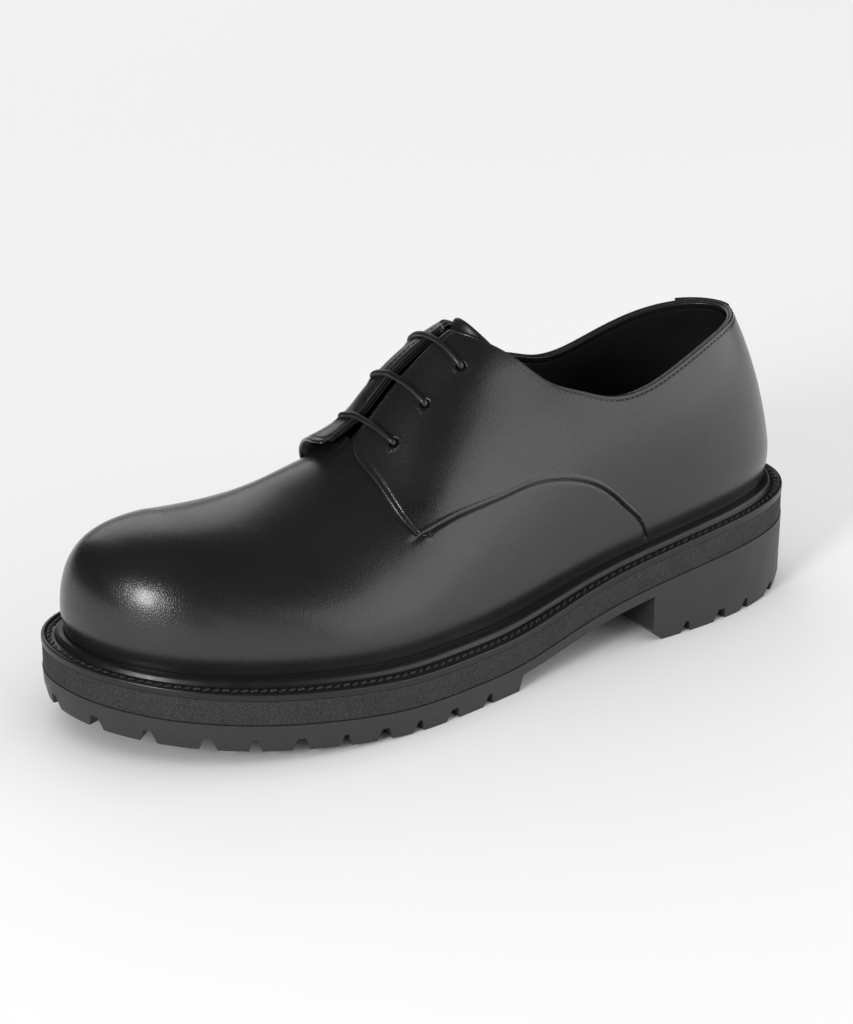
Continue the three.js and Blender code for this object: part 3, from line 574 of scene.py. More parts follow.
# Waxed thread: twisted plies a third of a millimetre apart, wax fills them to a low sheen
def waxedThread(name, colour, roughness):
    plySize, plyDepth = 0.35, 0.05
    material, tree, shader = newMaterial(name, colour, roughness, **{"Specular IOR Level": 0.45})
    where = addNode(tree, "ShaderNodeTexCoord").outputs["Object"]
    plies = addNode(tree, "ShaderNodeTexNoise", None,
                    {"Vector": where, "Scale": 1 / (plySize * mm), "Detail": 1.0})
    bump = addNode(tree, "ShaderNodeBump", None,
                   {"Strength": 0.5, "Distance": plyDepth * mm, "Height": plies.outputs["Fac"]})
    tree.links.new(bump.outputs["Normal"], shader.inputs["Normal"])
    return material


# Waxed round cotton lace: a braid of eight strands drawn on the tube's own map, with painted shade in the
# grooves between strands
def waxedLace(name, colour, groove):
    wavesPerUnit, braidDepth = 0.9, 0.12
    material, tree, shader = newMaterial(name, colour, 0.42, **{"Coat Weight": 0.25, "Coat Roughness": 0.3})
    where = addNode(tree, "ShaderNodeUVMap", {"uv_map": "along"}).outputs["UV"]
    heights = []
    for turn in (1, -1):
        slope = addNode(tree, "ShaderNodeMapping", None,
                        {"Vector": where, "Rotation": (0, 0, turn * math.pi / 4)})
        wave = addNode(tree, "ShaderNodeTexWave", {"wave_profile": "SIN"},
                       {"Vector": slope.outputs["Vector"], "Scale": wavesPerUnit, "Distortion": 0.0})
        heights.append(wave.outputs["Fac"])
    braid = addNode(tree, "ShaderNodeMath", {"operation": "MAXIMUM"}, {0: heights[0], 1: heights[1]})
    # painted shade: where the braid is low, between its strands, the colour goes over to the darker groove
    # colour
    shade = addNode(tree, "ShaderNodeMix", {"data_type": "RGBA"},
                    {"Factor": braid.outputs["Value"], "A": srgb(groove), "B": srgb(colour)})
    bump = addNode(tree, "ShaderNodeBump", None,
                   {"Strength": 0.8, "Distance": braidDepth * mm, "Height": braid.outputs["Value"]})
    tree.links.new(shade.outputs["Result"], shader.inputs["Base Color"])
    tree.links.new(bump.outputs["Normal"], shader.inputs["Normal"])
    return material


calf = polishedCalf("polishedCalf", "#171717", "#1b1b1b", 0.29, 0.8, 0.3)
tongueCalf = polishedCalf("tongueCalf", "#191919", "#1e1e1e", 0.4, 0.7, 0.1)
pigskin = liningLeather("pigskinLining", "#101011", "#19191a")
sockLeather = liningLeather("sockLeather", "#151515", "#202020")
weltRubber = mouldedRubber("weltRubber", "#121212", "#191919", 0.36, 0.5, 0.02)
midsoleRubber = mouldedRubber("midsoleRubber", "#1d1d1d", "#373737", 0.8, 0.55, 0.12)
lugRubber = mouldedRubber("lugRubber", "#272727", "#2f2f2f", 0.48, 0.6, 0.02)
seamThread = waxedThread("seamThread", "#090909", 0.85)
weltThread = waxedThread("weltThread", "#2b2b2b", 0.42)
# the lace's second colour is painted shade for the grooves of its braid
laceCotton = waxedLace("waxedLace", "#181818", "#070707")
print("materials made")

# Vamp: toe and sides as one sheet, its rear edge tucked under the quarters
vamp = {"thickness": 1.3, "tuck": 7, "height": 95, "rearTop": -27, "rearCorner": -24, "rearFoot": 80,
        "seamEnd": 72, "grooveDepth": 0.6, "grooveWidth": 1.0, "merge": 0.02,
        "fanColumns": 50, "ridgeColumns": 40, "rearColumns": 80, "rows": 124,
        "seamPoints": 80, "grooveSteps": 240}
# The lasted leather is drawn in under itself just above the welt
footTuck = {"depth": 1.0, "height": 9}
# Main creases, soft troughs (depth below 0) and ridges: ends as a place along the shoe and a height in up
creaseEnds = (0.12, 0.88)  # the crease's half wave starts and ends short of naught
creaseTable = [
    {"side": 1, "from": (-52, 0.62), "to": (-40, 0.3), "depth": -0.35, "width": 7},
    {"side": 1, "from": (-66, 0.78), "to": (-56, 0.42), "depth": 0.25, "width": 9},
    {"side": -1, "from": (-60, 0.66), "to": (-48, 0.34), "depth": -0.35, "width": 7},
    {"side": 1, "from": (28, 0.66), "to": (34, 0.48), "depth": -0.4, "width": 10},
    {"side": 1, "from": (84, 0.5), "to": (96, 0.2), "depth": 0.3, "width": 14},
    {"side": -1, "from": (30, 0.7), "to": (40, 0.45), "depth": -0.45, "width": 9},
    {"side": -1, "from": (88, 0.5), "to": (98, 0.2), "depth": 0.3, "width": 14},
]


def creases(side, turn, up):
    point = lastAt(side, turn, up)
    total = np.zeros(point.shape[:-1])
    for row in creaseTable:
        ends = []
        for y, at in (row["from"], row["to"]):
            ends.append(lastAt(row["side"], turnAtLength(row["side"], lengthAtY(row["side"], y)), at))
        line = ends[1] - ends[0]
        share = np.clip(((point - ends[0]) @ line) / (line @ line), 0, 1)
        away = np.linalg.norm(point - (ends[0] + share[..., None] * line), axis=-1)
        fade = np.sin(np.pi * (creaseEnds[0] + (creaseEnds[1] - creaseEnds[0]) * share))
        crease = row["depth"] * fade * np.exp(-(away / row["width"]) ** 2)
        total += np.where(np.asarray(side) == row["side"], crease, 0)
    height = point[..., 2] - featherAt(side, turn)[..., 2]
    return total - footTuck["depth"] * (1 - smooth(height, 0, footTuck["height"]))


# The inner facing stands up towards its top corner with the vamp beside it, and the outer one is a little
# fuller round its last hole
facingLift = {"peak": 3.8, "from": -44, "to": 4, "fadeFrom": 10, "fadeTo": 38, "crest": -13, "reach": -34,
              "atEdge": 0.22, "fuller": 2.2, "fullerAt": (9, 0.8), "fullerWidth": 15}
# The inner quarter's front edge curls up off the vamp
frontCurl = {"peak": 3.6, "from": -44, "to": -24, "outer": -9, "inner": -27, "foot": -48, "eased": 0.5}


def vampRise(side, turn, up):
    point = lastAt(side, turn, up)
    x, y = point[..., 0], point[..., 1]
    along = np.clip((y - facingLift["from"]) / (facingLift["to"] - facingLift["from"]), 0, 1)
    along = along * (1 - smooth(y, facingLift["fadeFrom"], facingLift["fadeTo"]))
    edge = 1 - (1 - facingLift["atEdge"]) * smooth(x, facingLift["crest"], facingX(-1))
    inner = facingLift["peak"] * along * smooth(x, facingLift["reach"], facingLift["crest"]) * edge
    centreY, centreUp = facingLift["fullerAt"]
    centre = lastAt(1, turnAtLength(1, lengthAtY(1, centreY)), centreUp)
    away = np.linalg.norm(point - centre, axis=-1)
    outer = facingLift["fuller"] * np.exp(-(away / facingLift["fullerWidth"]) ** 2)
    return creases(side, turn, up) + np.where(np.asarray(side) > 0, outer, inner)


# Rise of the quarters and of all that lies on or under them
def surfaceRise(side, turn, up):
    point = lastAt(side, turn, up)
    x, y = point[..., 0], point[..., 1]
    curl = frontCurl["peak"] * (1 - smooth(y, frontCurl["from"], frontCurl["to"]))
    curl = curl * smooth(x, frontCurl["foot"], frontCurl["inner"])
    curl = curl * (1 - frontCurl["eased"] * smooth(x, frontCurl["outer"], 0))
    return vampRise(side, turn, up) + np.where(np.asarray(side) > 0, 0, curl)


# Columns of the vamp as lengths along the feather line, with the height that each one reaches
def vampColumns(side):
    lead, hair = leadOf(side), 0.01
    fan = np.linspace(0, lengthAtY(side, toeCentre), vamp["fanColumns"] + 1)
    shared = vamp["rearTop"] - last["innerLead"]
    ridge = lengthAtY(side, np.linspace(toeCentre, shared, vamp["ridgeColumns"] + 1))[1:]
    seamY = np.linspace(vamp["rearCorner"] - lead, vamp["seamEnd"], vamp["seamPoints"])
    seamUp = np.clip(upAtSeam(side, seamY) + vamp["tuck"] / vamp["height"], 0, 1)
    rearY = np.concatenate([[shared, vamp["rearTop"] - lead + hair], seamY, [vamp["rearFoot"]]])
    rearUp = np.concatenate([[1.0, 1.0], seamUp, [last["belowFeather"] + vamp["merge"]]])
    edge = np.stack([rearY, rearUp * vamp["height"]], -1)
    edge = resample(edge, np.linspace(0, 1, vamp["rearColumns"] + 1))[1:]
    lengths = np.concatenate([fan, ridge, lengthAtY(side, edge[:, 0])])
    return lengths, np.concatenate([np.ones(len(fan) + len(ridge)), edge[:, 1] / vamp["height"]])


# Distance on the vamp from the line of the quarter's lower edge
def fromSeam(side, points):
    corner = seamTable["along"][0] * sole["length"] - leadOf(side) * seamTable["lead"][0]
    seamY = np.linspace(corner, vamp["seamEnd"], vamp["grooveSteps"])
    line = lastAt(side, turnAtLength(side, lengthAtY(side, seamY)), upAtSeam(side, seamY))
    return np.array([np.linalg.norm(row[:, None] - line[None], axis=-1).min(axis=1) for row in points])


def buildVamp():
    halves = []
    for side in (1, -1):
        lengths, topUp = vampColumns(side)
        t = np.linspace(0, 1, vamp["rows"] + 1)[:, None]
        up = last["belowFeather"] + (topUp[None] - last["belowFeather"]) * t
        turn = turnAtLength(side, lengths)[None] + 0 * up
        surface = lastAt(side, turn, up)
        groove = vamp["grooveDepth"] * np.exp(-(fromSeam(side, surface) / vamp["grooveWidth"]) ** 2)
        rise = vampRise(side, turn, up) - vampDip(surface[..., 1], up) - groove
        halves.append(upperAt(side, turn, up, rise))
    points = np.concatenate([halves[1][:, :0:-1], halves[0]], axis=1)
    bm = gridBmesh(points, vamp["merge"])
    bmesh.ops.recalc_face_normals(bm, faces=bm.faces)
    piece = meshObject("vampLeather", bm, calf)
    addModifier(piece, "SOLIDIFY", thickness=vamp["thickness"] * mm, offset=-1)
    return addPiece(piece, "upper_leather", "upper")


buildVamp()

# Quarters: two sheets over the vamp, cut edge in front, folded edge below, turned edge at the top
quarter = {"thickness": 1.3, "foldedThickness": 2.7, "topFold": 3.0, "stitchAt": 1.9, "seamEnd": 73.2,
           "fallLength": 3, "frontLead": (0.95, 0.85), "holeRadius": 2.15, "holeDepth": 1.0, "rimLift": 0.34,
           "rimWidth": 0.35, "columns": 210, "rows": 76}
quarterPoints = {"seam": 160, "fall": 8, "behind": 80, "front": 40, "top": 220, "back": 70}
eyelets = {"fromThroat": [6.2, 19.8, 35.6], "outer": [14, 13, 11.5], "inner": [8.5, 8, 7.5], "lead": 5}


# Lower edge with its seam, its fall to the welt and its stretch round the heel, then the other three edges
def quarterBorders(side):
    edge, lead, foot = facingX(side), leadOf(side), last["belowFeather"]
    corner = seamTable["along"][0] * sole["length"] - lead * seamTable["lead"][0]
    seamY = np.linspace(corner, quarter["seamEnd"], quarterPoints["seam"])
    lower = np.stack([lengthAtY(side, seamY), upAtSeam(side, seamY)], -1)
    falling = np.linspace(0, 1, quarterPoints["fall"])
    fall = lower[-1] + np.stack([np.linspace(0, quarter["fallLength"], quarterPoints["fall"]),
                                 -falling * (lower[-1, 1] - foot)], -1)
    behind = np.linspace(fall[-1, 0], featherLength[side][-1], quarterPoints["behind"])[1:]
    lower = np.concatenate([lower, fall[1:], np.stack([behind, np.full(len(behind), foot)], -1)])
    across = np.linspace(frontTable["across"][0], frontTable["across"][-1], quarterPoints["front"])
    frontY = frontCurve(across) - lead * np.linspace(*quarter["frontLead"], quarterPoints["front"])
    frontY[-1] = corner
    cornerX = lastAt(side, turnAtLength(side, lower[0, 0]), lower[0, 1])[0]
    across = across * abs(cornerX - edge) / across[-1]
    frontLength = lengthAtY(side, frontY)
    frontUp = upAtX(side, turnAtLength(side, frontLength), edge + side * across)
    front = np.stack([frontLength, frontUp], -1)[::-1]
    front[0] = lower[0]
    topY = np.linspace(frontY[0], heelCentre, quarterPoints["top"])
    backLength = np.linspace(lengthAtY(side, heelCentre), featherLength[side][-1], quarterPoints["back"])[1:]
    backUp = upAtTopline(side, turnAtLength(side, backLength))
    upper = np.concatenate([np.stack([lengthAtY(side, topY), topBorder(side, topY)], -1),
                            np.stack([backLength, backUp], -1)])
    upper[0] = front[-1]
    rearUp = np.linspace(foot, backUp[-1], quarterPoints["front"])
    rear = np.stack([np.full(len(rearUp), featherLength[side][-1]), rearUp], -1)
    return lower, upper, front, rear


def eyeletY(side, row):
    lead = 0 if side > 0 else eyelets["lead"]
    return last["throatAt"] + eyelets["fromThroat"][row] - lead


def eyeletPlace(side, row):
    y = eyeletY(side, row)
    turn = turnAtLength(side, lengthAtY(side, y))
    fromEdge = eyelets["outer" if side > 0 else "inner"][row]
    up = upAtX(side, turn, facingX(side, fromEdge))
    centre = upperAt(side, turn, up, last["quarterThickness"] + surfaceRise(side, turn, up))
    return centre, lastNormal(side, turn, up)


# A punched hole with a fine raised rim, sunk into the leather and closed at its bottom
def punchHole(bm, centre, out):
    centre, out = Vector(inFrame(centre)), Vector(out)
    radius = quarter["holeRadius"] * mm
    reach, facing = radius * 1.02, 0.5

    def fromAxis(vert):
        away = vert.co - centre
        return away - out * away.dot(out)

    near = [f for f in bm.faces
            if (f.calc_center_median() - centre).length < reach and f.normal.dot(out) > facing]
    bmesh.ops.delete(bm, geom=near, context="FACES")
    rim = [e for e in bm.edges if e.is_boundary]
    ring = list({v for e in rim for v in e.verts})
    for vert in ring:
        flat = fromAxis(vert)
        vert.co = vert.co + flat.normalized() * (radius - flat.length)
    bmesh.ops.translate(bm, verts=ring, vec=out * quarter["rimLift"] * mm)
    made = bmesh.ops.extrude_edge_only(bm, edges=rim)["geom"]
    for vert in (g for g in made if isinstance(g, bmesh.types.BMVert)):
        inwards = fromAxis(vert).normalized() * quarter["rimWidth"]
        vert.co = vert.co - (inwards + out * quarter["rimLift"]) * mm
    rim = [g for g in made if isinstance(g, bmesh.types.BMEdge) and g.is_boundary]
    made = bmesh.ops.extrude_edge_only(bm, edges=rim)["geom"]
    floor = [g for g in made if isinstance(g, bmesh.types.BMVert)]
    bmesh.ops.translate(bm, verts=floor, vec=-out * quarter["holeDepth"] * mm)
    bmesh.ops.contextual_create(bm, geom=[g for g in made if isinstance(g, bmesh.types.BMEdge)])


def buildQuarter(side, name):
    lower, upper, front, rear = quarterBorders(side)
    settings = {
        "columns": quarter["columns"], "rows": quarter["rows"], "fade": 6,
        "front": pressedLine(edgeRounding(radius=0.3, square=3, count=4), at=1.05, width=0.42, dip=0.45),
        "rear": edgeRounding(radius=0.35, square=2, count=3),
        "lower": foldedEdge(radius=0.8, width=1.3, bulge=0.3),
        "upper": pressedLine(layeredEdge(), at=quarter["stitchAt"], width=0.5, dip=0.13),
    }
    turn, up, share = lastPatch(side, lower, upper, front, rear, settings)
    surface = lastAt(side, turn, up)
    reach = np.linalg.norm(np.diff(surface, axis=0), axis=2)
    fromTop = np.concatenate([np.cumsum(reach[::-1], axis=0)[::-1], np.zeros((1, reach.shape[1]))])
    foldFrom, foldTo = quarter["topFold"] - 0.3, quarter["topFold"] + 0.1
    fold = 1 - smooth(fromTop, foldFrom, foldTo)
    rise = last["quarterThickness"] * smooth(up, 0, last["quarterTaper"]) + surfaceRise(side, turn, up)
    inside = rise - quarter["thickness"] * (1 - fold) - quarter["foldedThickness"] * fold
    middle = (rise + inside) / 2
    outer = upperAt(side, turn, up, middle + (rise - middle) * share)
    inner = upperAt(side, turn, up, middle + (inside - middle) * share)
    bm = shellBmesh(outer, inner)
    for row in range(len(eyelets["fromThroat"])):
        punchHole(bm, *eyeletPlace(side, row))
    piece = meshObject(name, bm, calf)
    return addPiece(piece, "upper_leather")


buildQuarter(1, "outerQuarter")
buildQuarter(-1, "innerQuarter")

# Lining of the quarters, all round the heel, its top edge under the turned collar
lining = {"below": 2.4, "fromEdge": 0.6, "front": -30, "depth": 1.6, "thickness": 0.3,
          "columns": 90, "rows": 44}
liningPoints = {"top": 160, "back": 60, "end": 30}


def buildLining():
    halves, foot, count = [], last["belowFeather"], liningPoints["end"]
    for side in (1, -1):
        topY = np.linspace(lining["front"], heelCentre, liningPoints["top"])
        topUp = topBorder(side, topY, lining["fromEdge"], lining["below"])
        topLength = lengthAtY(side, topY)
        backLength = np.linspace(topLength[-1], featherLength[side][-1], liningPoints["back"])[1:]
        backUp = upAtTopline(side, turnAtLength(side, backLength), lining["below"])
        upper = np.concatenate([np.stack([topLength, topUp], -1), np.stack([backLength, backUp], -1)])
        lower = np.stack([upper[:, 0], np.full(len(upper), foot)], -1)
        front = np.stack([np.full(count, topLength[0]), np.linspace(foot, topUp[0], count)], -1)
        rear = np.stack([np.full(count, upper[-1, 0]), np.linspace(foot, upper[-1, 1], count)], -1)
        settings = {
            "columns": lining["columns"], "rows": lining["rows"], "rear": noRounding,
            "front": edgeRounding(radius=0.7, square=2, count=3),
            "lower": edgeRounding(radius=0.7, square=2, count=2),
            "upper": edgeRounding(radius=0.7, square=2, count=4),
        }
        turn, up, share = lastPatch(side, lower, upper, front, rear, settings)
        wave = surfaceRise(side, turn, up)
        outer = upperAt(side, turn, up, wave - lining["depth"] + lining["thickness"] / 2 * share)
        inner = upperAt(side, turn, up, wave - lining["depth"] - lining["thickness"] / 2 * share)
        halves.append((outer, inner))
    outer = np.concatenate([halves[0][0], halves[1][0][:, -2::-1]], axis=1)
    inner = np.concatenate([halves[0][1], halves[1][1][:, -2::-1]], axis=1)
    piece = meshObject("quarterLining", shellBmesh(outer, inner), pigskin)
    return addPiece(piece, "upper_leather")


buildLining()

# Heel tab: a tapered strap from the back seam on to the inner side, its upper edge over the top line in front
tab = {"length": 26, "drop": 15, "taper": 0.8, "thickness": 1.2, "belowEdge": -0.35, "belowSeam": 0.8,
       "overSeam": 4, "sunk": 0.2, "overSunk": 0.25, "overEdge": 0.05,
       "columns": 60, "rows": 16, "endPoints": 20, "overColumns": 6}


def buildHeelTab():
    backLength = featherLength[-1][-1]
    frontLength = lengthAtY(-1, sole["length"] / 2 - tab["length"])
    lengths = np.linspace(frontLength, backLength, tab["columns"])
    turn = turnAtLength(-1, lengths)
    share = (backLength - lengths) / (backLength - frontLength)
    drop = tab["belowEdge"] + tab["drop"] * (1 - tab["taper"] * share ** 2)
    high = upAtTopline(-1, turn, tab["belowSeam"] + (tab["belowEdge"] - tab["belowSeam"]) * share)
    low = upAtTopline(-1, turn, drop)
    upper, lower = np.stack([lengths, high], -1), np.stack([lengths, low], -1)
    front = np.linspace(lower[0], upper[0], tab["endPoints"])
    rear = np.linspace(lower[-1], upper[-1], tab["endPoints"])
    settings = {
        "columns": tab["columns"], "rows": tab["rows"], "rear": noRounding,
        "front": edgeRounding(radius=0.5, square=3, count=3),
        "lower": edgeRounding(radius=0.5, square=3, count=4),
        "upper": edgeRounding(radius=0.7, square=2, count=4),
    }
    turn, up, rounding = lastPatch(-1, lower, upper, front, rear, settings)
    rise = last["quarterThickness"] + surfaceRise(-1, turn, up)
    middle = rise + tab["thickness"] / 2
    outer = upperAt(-1, turn, up, middle + tab["thickness"] / 2 * rounding)
    inner = upperAt(-1, turn, up, middle - (tab["thickness"] / 2 + tab["sunk"]) * rounding)
    # over the seam it thins out on the outer side, as a run-out of the outer quarter's leather
    overShare = np.linspace(0, 1, tab["overColumns"] + 1)[1:]
    overTurn = turnAtLength(1, featherLength[1][-1] - tab["overSeam"] * overShare)[None]
    extraUp = np.repeat(up[:, -1:], tab["overColumns"], axis=1)
    thin = (1 - smooth(overShare, 0, 1))[None] * rounding[:, -1:]
    overRise = last["quarterThickness"] + surfaceRise(1, overTurn, extraUp) - tab["overSunk"]
    over = upperAt(1, overTurn, extraUp, overRise + (tab["thickness"] + tab["overSunk"]) * thin)
    under = upperAt(1, overTurn, extraUp, overRise - tab["overEdge"] * thin)
    bm = shellBmesh(np.concatenate([outer, over], 1), np.concatenate([inner, under], 1))
    piece = meshObject("heelTab", bm, calf)
    return addPiece(piece, "upper_leather", "heel_tab")


buildHeelTab()
print("upper made")

# Tongue: under the facings, wide and swept back at its sides, a little above the collar in the middle
tongue = {"thickness": 2.4, "width": 42, "reach": 9.5, "beyond": 45.1, "tuck": 14, "lift": 7.4,
          "sideLift": 4.0, "sweep": 14, "corner": 7, "room": 4.4, "clear": 0.6, "edge": 1.3,
          "sinkFrom": -2, "sinkTo": 6, "crownFrom": 0.1, "crownTo": 0.8, "rows": 90, "columns": 60,
          "along": [0, 0.5, 0.8, 0.93, 1], "share": [0.8, 0.93, 1.04, 1.06, 0.98]}


def buildTongue():
    throat = last["throatAt"]
    start, end = throat - tongue["tuck"], throat + tongue["beyond"]
    half = naturalCurve(tongue["along"], np.array(tongue["share"]) * tongue["width"] / 2)
    tucked = last["wall"] + throatDip["sink"] + tongue["clear"]
    rounding = edgeRounding(radius=tongue["edge"], square=2, count=5)
    rows, rowShare = spread(end - start, rounding, rounding, tongue["rows"])
    columns, columnShare = spread(tongue["width"], rounding, rounding, tongue["columns"])
    share, across = (rows / (end - start))[:, None], (2 * columns / tongue["width"] - 1)[None]
    swept = tongue["sweep"] * (share * across) ** 2 - tongue["corner"] * np.abs(share * across) ** 8
    y = start + (end - start) * share + swept
    sinking = smooth(y, throat + tongue["sinkFrom"], throat + tongue["sinkTo"])
    sink = tucked + (last["wall"] + tongue["room"] - tucked) * sinking
    middle = 1 - smooth(np.abs(across), tongue["crownFrom"], tongue["crownTo"])
    lift = tongue["sideLift"] + (tongue["lift"] - tongue["sideLift"]) * middle
    lift = lift * smooth(share, 1 - tongue["reach"] / (end - start), 1)
    x = ridgeAt(y)[..., 0] + across * half(share)
    faces = []
    for depth in (0.5, -0.5):
        grid = np.zeros(x.shape + (3,))
        for side in (1, -1):
            mask = (across >= 0) if side > 0 else (across < 0)
            turn = turnAtLength(side, lengthAtY(side, y))
            up = np.where(np.abs(across) < fineStep / 10, 1.0, upAtX(side, turn, x))
            fullness = depth * tongue["thickness"] * rowShare[:, None] * columnShare[None]
            offset = lift - sink - tongue["thickness"] / 2 + fullness
            grid = np.where(np.broadcast_to(mask, x.shape)[..., None], upperAt(side, turn, up, offset), grid)
        faces.append(grid)
    piece = meshObject("tongueLeather", shellBmesh(*faces), tongueCalf)
    return addPiece(piece, "tongue_leather", "tongue")


buildTongue()


# A closed body from rings round the sole: rows of points for the outer and for the inner side
def ringBody(name, outerRows, innerRows, material, capped):
    def ring(outer, inner):
        return np.concatenate([outer, inner[-2:0:-1], outer[:1]])

    loops = [ring(outer, inner) for outer, inner in zip(outerRows, innerRows)]
    if capped:
        for end in (0, -1):
            outer, inner = outerRows[end], innerRows[end]
            middle = (outer + inner) / 2
            for share in (0.4, 0.75, 1.0):
                loop = ring(outer + (middle - outer) * share, inner + (middle - inner) * share)
                loops.insert(0 if end == 0 else len(loops), loop)
    else:
        loops.append(loops[0])
    bm = gridBmesh(np.stack(loops))
    bmesh.ops.recalc_face_normals(bm, faces=bm.faces)
    return meshObject(name, bm, material)


# Points of a section with its corners rounded off
def roundedSection(corners, radius, steps=4, closed=False):
    corners = [np.array(c, float) for c in corners]
    made = []
    for i, corner in enumerate(corners):
        if not closed and i in (0, len(corners) - 1):
            made.append(corner)
            continue
        before, after = corners[i - 1] - corner, corners[(i + 1) % len(corners)] - corner
        beforeLength, afterLength = np.linalg.norm(before), np.linalg.norm(after)
        reach = min(radius, beforeLength / 2.2, afterLength / 2.2)  # two roundings never meet on one side
        first, final = corner + before / beforeLength * reach, corner + after / afterLength * reach
        for step in range(steps + 1):
            t = step / steps
            made.append(first * (1 - t) ** 2 + corner * 2 * t * (1 - t) + final * t * t)
    return made


# Welt: a smooth rib along the upper, a stitched channel, a lip and the outer edge
welt = {"stations": 400, "innerCover": 1.2, "fillet": 0.45, "edgeDrop": 0.1, "clear": 0.05}
# Its section from the upper outwards: share of the width shown, and height as a share of the rib's rise
weltSection = {
    "out": [0, 0.12, 0.3, 0.37, 0.44, 0.79, 0.85, 0.97],
    "height": [0.9, 1.0, 0.84, 0.62, 0.06, 0.02, 0.28, 0.2],
}


# Rows of a section's points round the outer and the inner side
def soleRows(section, stations, pointAt):
    turn = np.linspace(0, 1, stations + 1)
    return [[pointAt(side, turn, place) for place in section] for side in (1, -1)]


def buildWelt():
    width, foot = sole["weltWidth"], -sole["weltEdge"] + welt["clear"]
    corners = [(out * width, height * sole["ribRise"])
               for out, height in zip(weltSection["out"], weltSection["height"])]
    corners += [(width, welt["edgeDrop"]), (width, foot), (0, foot)]
    rounded = roundedSection(corners, welt["fillet"], steps=3, closed=True)
    section = [(out / width, height) for out, height in rounded]

    def pointAt(side, turn, place):
        plan = insetAt(side, turn, (weltShown(side, turn) + welt["innerCover"]) * (1 - place[0]))
        return np.concatenate([plan, (weltTop(plan[..., 1]) + place[1])[..., None]], -1)

    outer, inner = soleRows(section, welt["stations"], pointAt)
    return addPiece(ringBody("weltStrip", outer, inner, weltRubber, False), "welt_rubber", "welt")


buildWelt()


# A stitch is a flattened bead laid along the seam and let into it by half
def addStitch(bm, place, along, out, size):
    along = Vector(along).normalized()
    out = (Vector(out) - along * Vector(out).dot(along)).normalized()
    turned = Matrix((along, out.cross(along), out)).transposed().to_4x4()
    scale = Matrix.Diagonal((size[0] / 2 * mm, size[1] / 2 * mm, size[2] / 2 * mm, 1))
    bmesh.ops.create_uvsphere(bm, u_segments=6, v_segments=5, radius=1,
                              matrix=Matrix.Translation(Vector(inFrame(place))) @ turned @ scale)


weltStitch = {"pitch": 3.4, "length": 3.7, "width": 1.25, "height": 1.1, "slant": 24, "out": 0.62,
              "lift": 0.2, "uneven": 0.22, "wander": 2.4}


# A point on a line of points, at a distance along it
def pointAlong(at, reach, line):
    return np.array([np.interp(at, reach, line[:, k]) for k in range(3)])


def reachAlong(line):
    return np.concatenate([[0], np.cumsum(np.linalg.norm(np.diff(line, axis=0), axis=1))])


def buildWeltStitches():
    bm = bmesh.new()
    slant = math.radians(weltStitch["slant"])
    for side in (1, -1):
        plan = insetAt(side, denseTurn, weltShown(side, denseTurn) * (1 - weltStitch["out"]))
        line = np.concatenate([plan, (weltTop(plan[..., 1]) + weltStitch["lift"])[..., None]], -1)
        reach = reachAlong(line)
        count = round(reach[-1] / weltStitch["pitch"])
        for i in range(count):
            at = (i + 0.5) / count * reach[-1]
            place = pointAlong(at, reach, line)
            ahead = pointAlong(at + 1, reach, line) - place
            ahead = ahead / np.linalg.norm(ahead)
            across = np.cross([0, 0, 1], ahead)
            # no two pulls of the thread lie quite alike
            uneven = weltStitch["uneven"] * math.sin(i * weltStitch["wander"] + side)
            along = ahead * math.cos(slant + uneven) + across * math.sin(slant + uneven) * side
            length, height = weltStitch["length"] * (1 + uneven / 2), weltStitch["height"] * (1 - uneven)
            size = (length, weltStitch["width"], height)
            addStitch(bm, place, along, (0, 0, 1), size)
    piece = meshObject("weltStitches", bm, weltThread)
    return addPiece(piece, "welt_rubber")


buildWeltStitches()

# Midsole: a matt band with crisp, barely broken edges
midsole = {"stations": 400, "fillet": 0.45, "inset": 0.25, "clear": 0.05, "reach": 14}


def buildMidsole():
    top, bottom = -midsole["clear"], -sole["midsoleBand"] + midsole["clear"]
    inset, reach = midsole["inset"], midsole["reach"]
    corners = [(reach, bottom), (inset, bottom), (inset, top), (reach, top)]
    section = roundedSection(corners, midsole["fillet"], 4)

    def pointAt(side, turn, place):
        plan = insetAt(side, turn, place[0])
        return np.concatenate([plan, (midsoleTop(plan[..., 1]) + place[1])[..., None]], -1)

    outer, inner = soleRows(section, midsole["stations"], pointAt)
    return addPiece(ringBody("midsoleBand", outer, inner, midsoleRubber, True), "midsole_rubber", "midsole")


buildMidsole()

# Insole: the sock that shows inside, a little cupped towards the wall
insole = {"thickness": 3.5, "cup": 1.2, "cupPower": 5, "cupSink": 0.3, "clear": 0.4, "above": 0.3,
          "solid": 0.8, "rows": 150, "columns": 30, "merge": 0.05}


def buildInsole():
    turn = np.linspace(0, 1, insole["rows"] + 1)
    edges = []
    for side in (1, -1):
        inset = weltShown(side, turn) + last["wall"] + insole["clear"]
        edges.append(insetAt(side, turn, inset))
    across = np.linspace(-1, 1, insole["columns"] + 1)[None, :, None]
    plan = edges[0][:, None] * (1 + across) / 2 + edges[1][:, None] * (1 - across) / 2
    cupping = insole["cup"] * (np.abs(across[..., 0]) ** insole["cupPower"] - insole["cupSink"])
    height = midsoleTop(plan[..., 1]) + (insole["thickness"] + insole["above"] + cupping)
    bm = gridBmesh(np.concatenate([plan, height[..., None]], -1), insole["merge"])
    bmesh.ops.recalc_face_normals(bm, faces=bm.faces)
    piece = meshObject("insoleSock", bm, sockLeather)
    addModifier(piece, "SOLIDIFY", thickness=insole["thickness"] * mm * insole["solid"], offset=-1)
    return addPiece(piece, "insole_leather", "insole")


buildInsole()

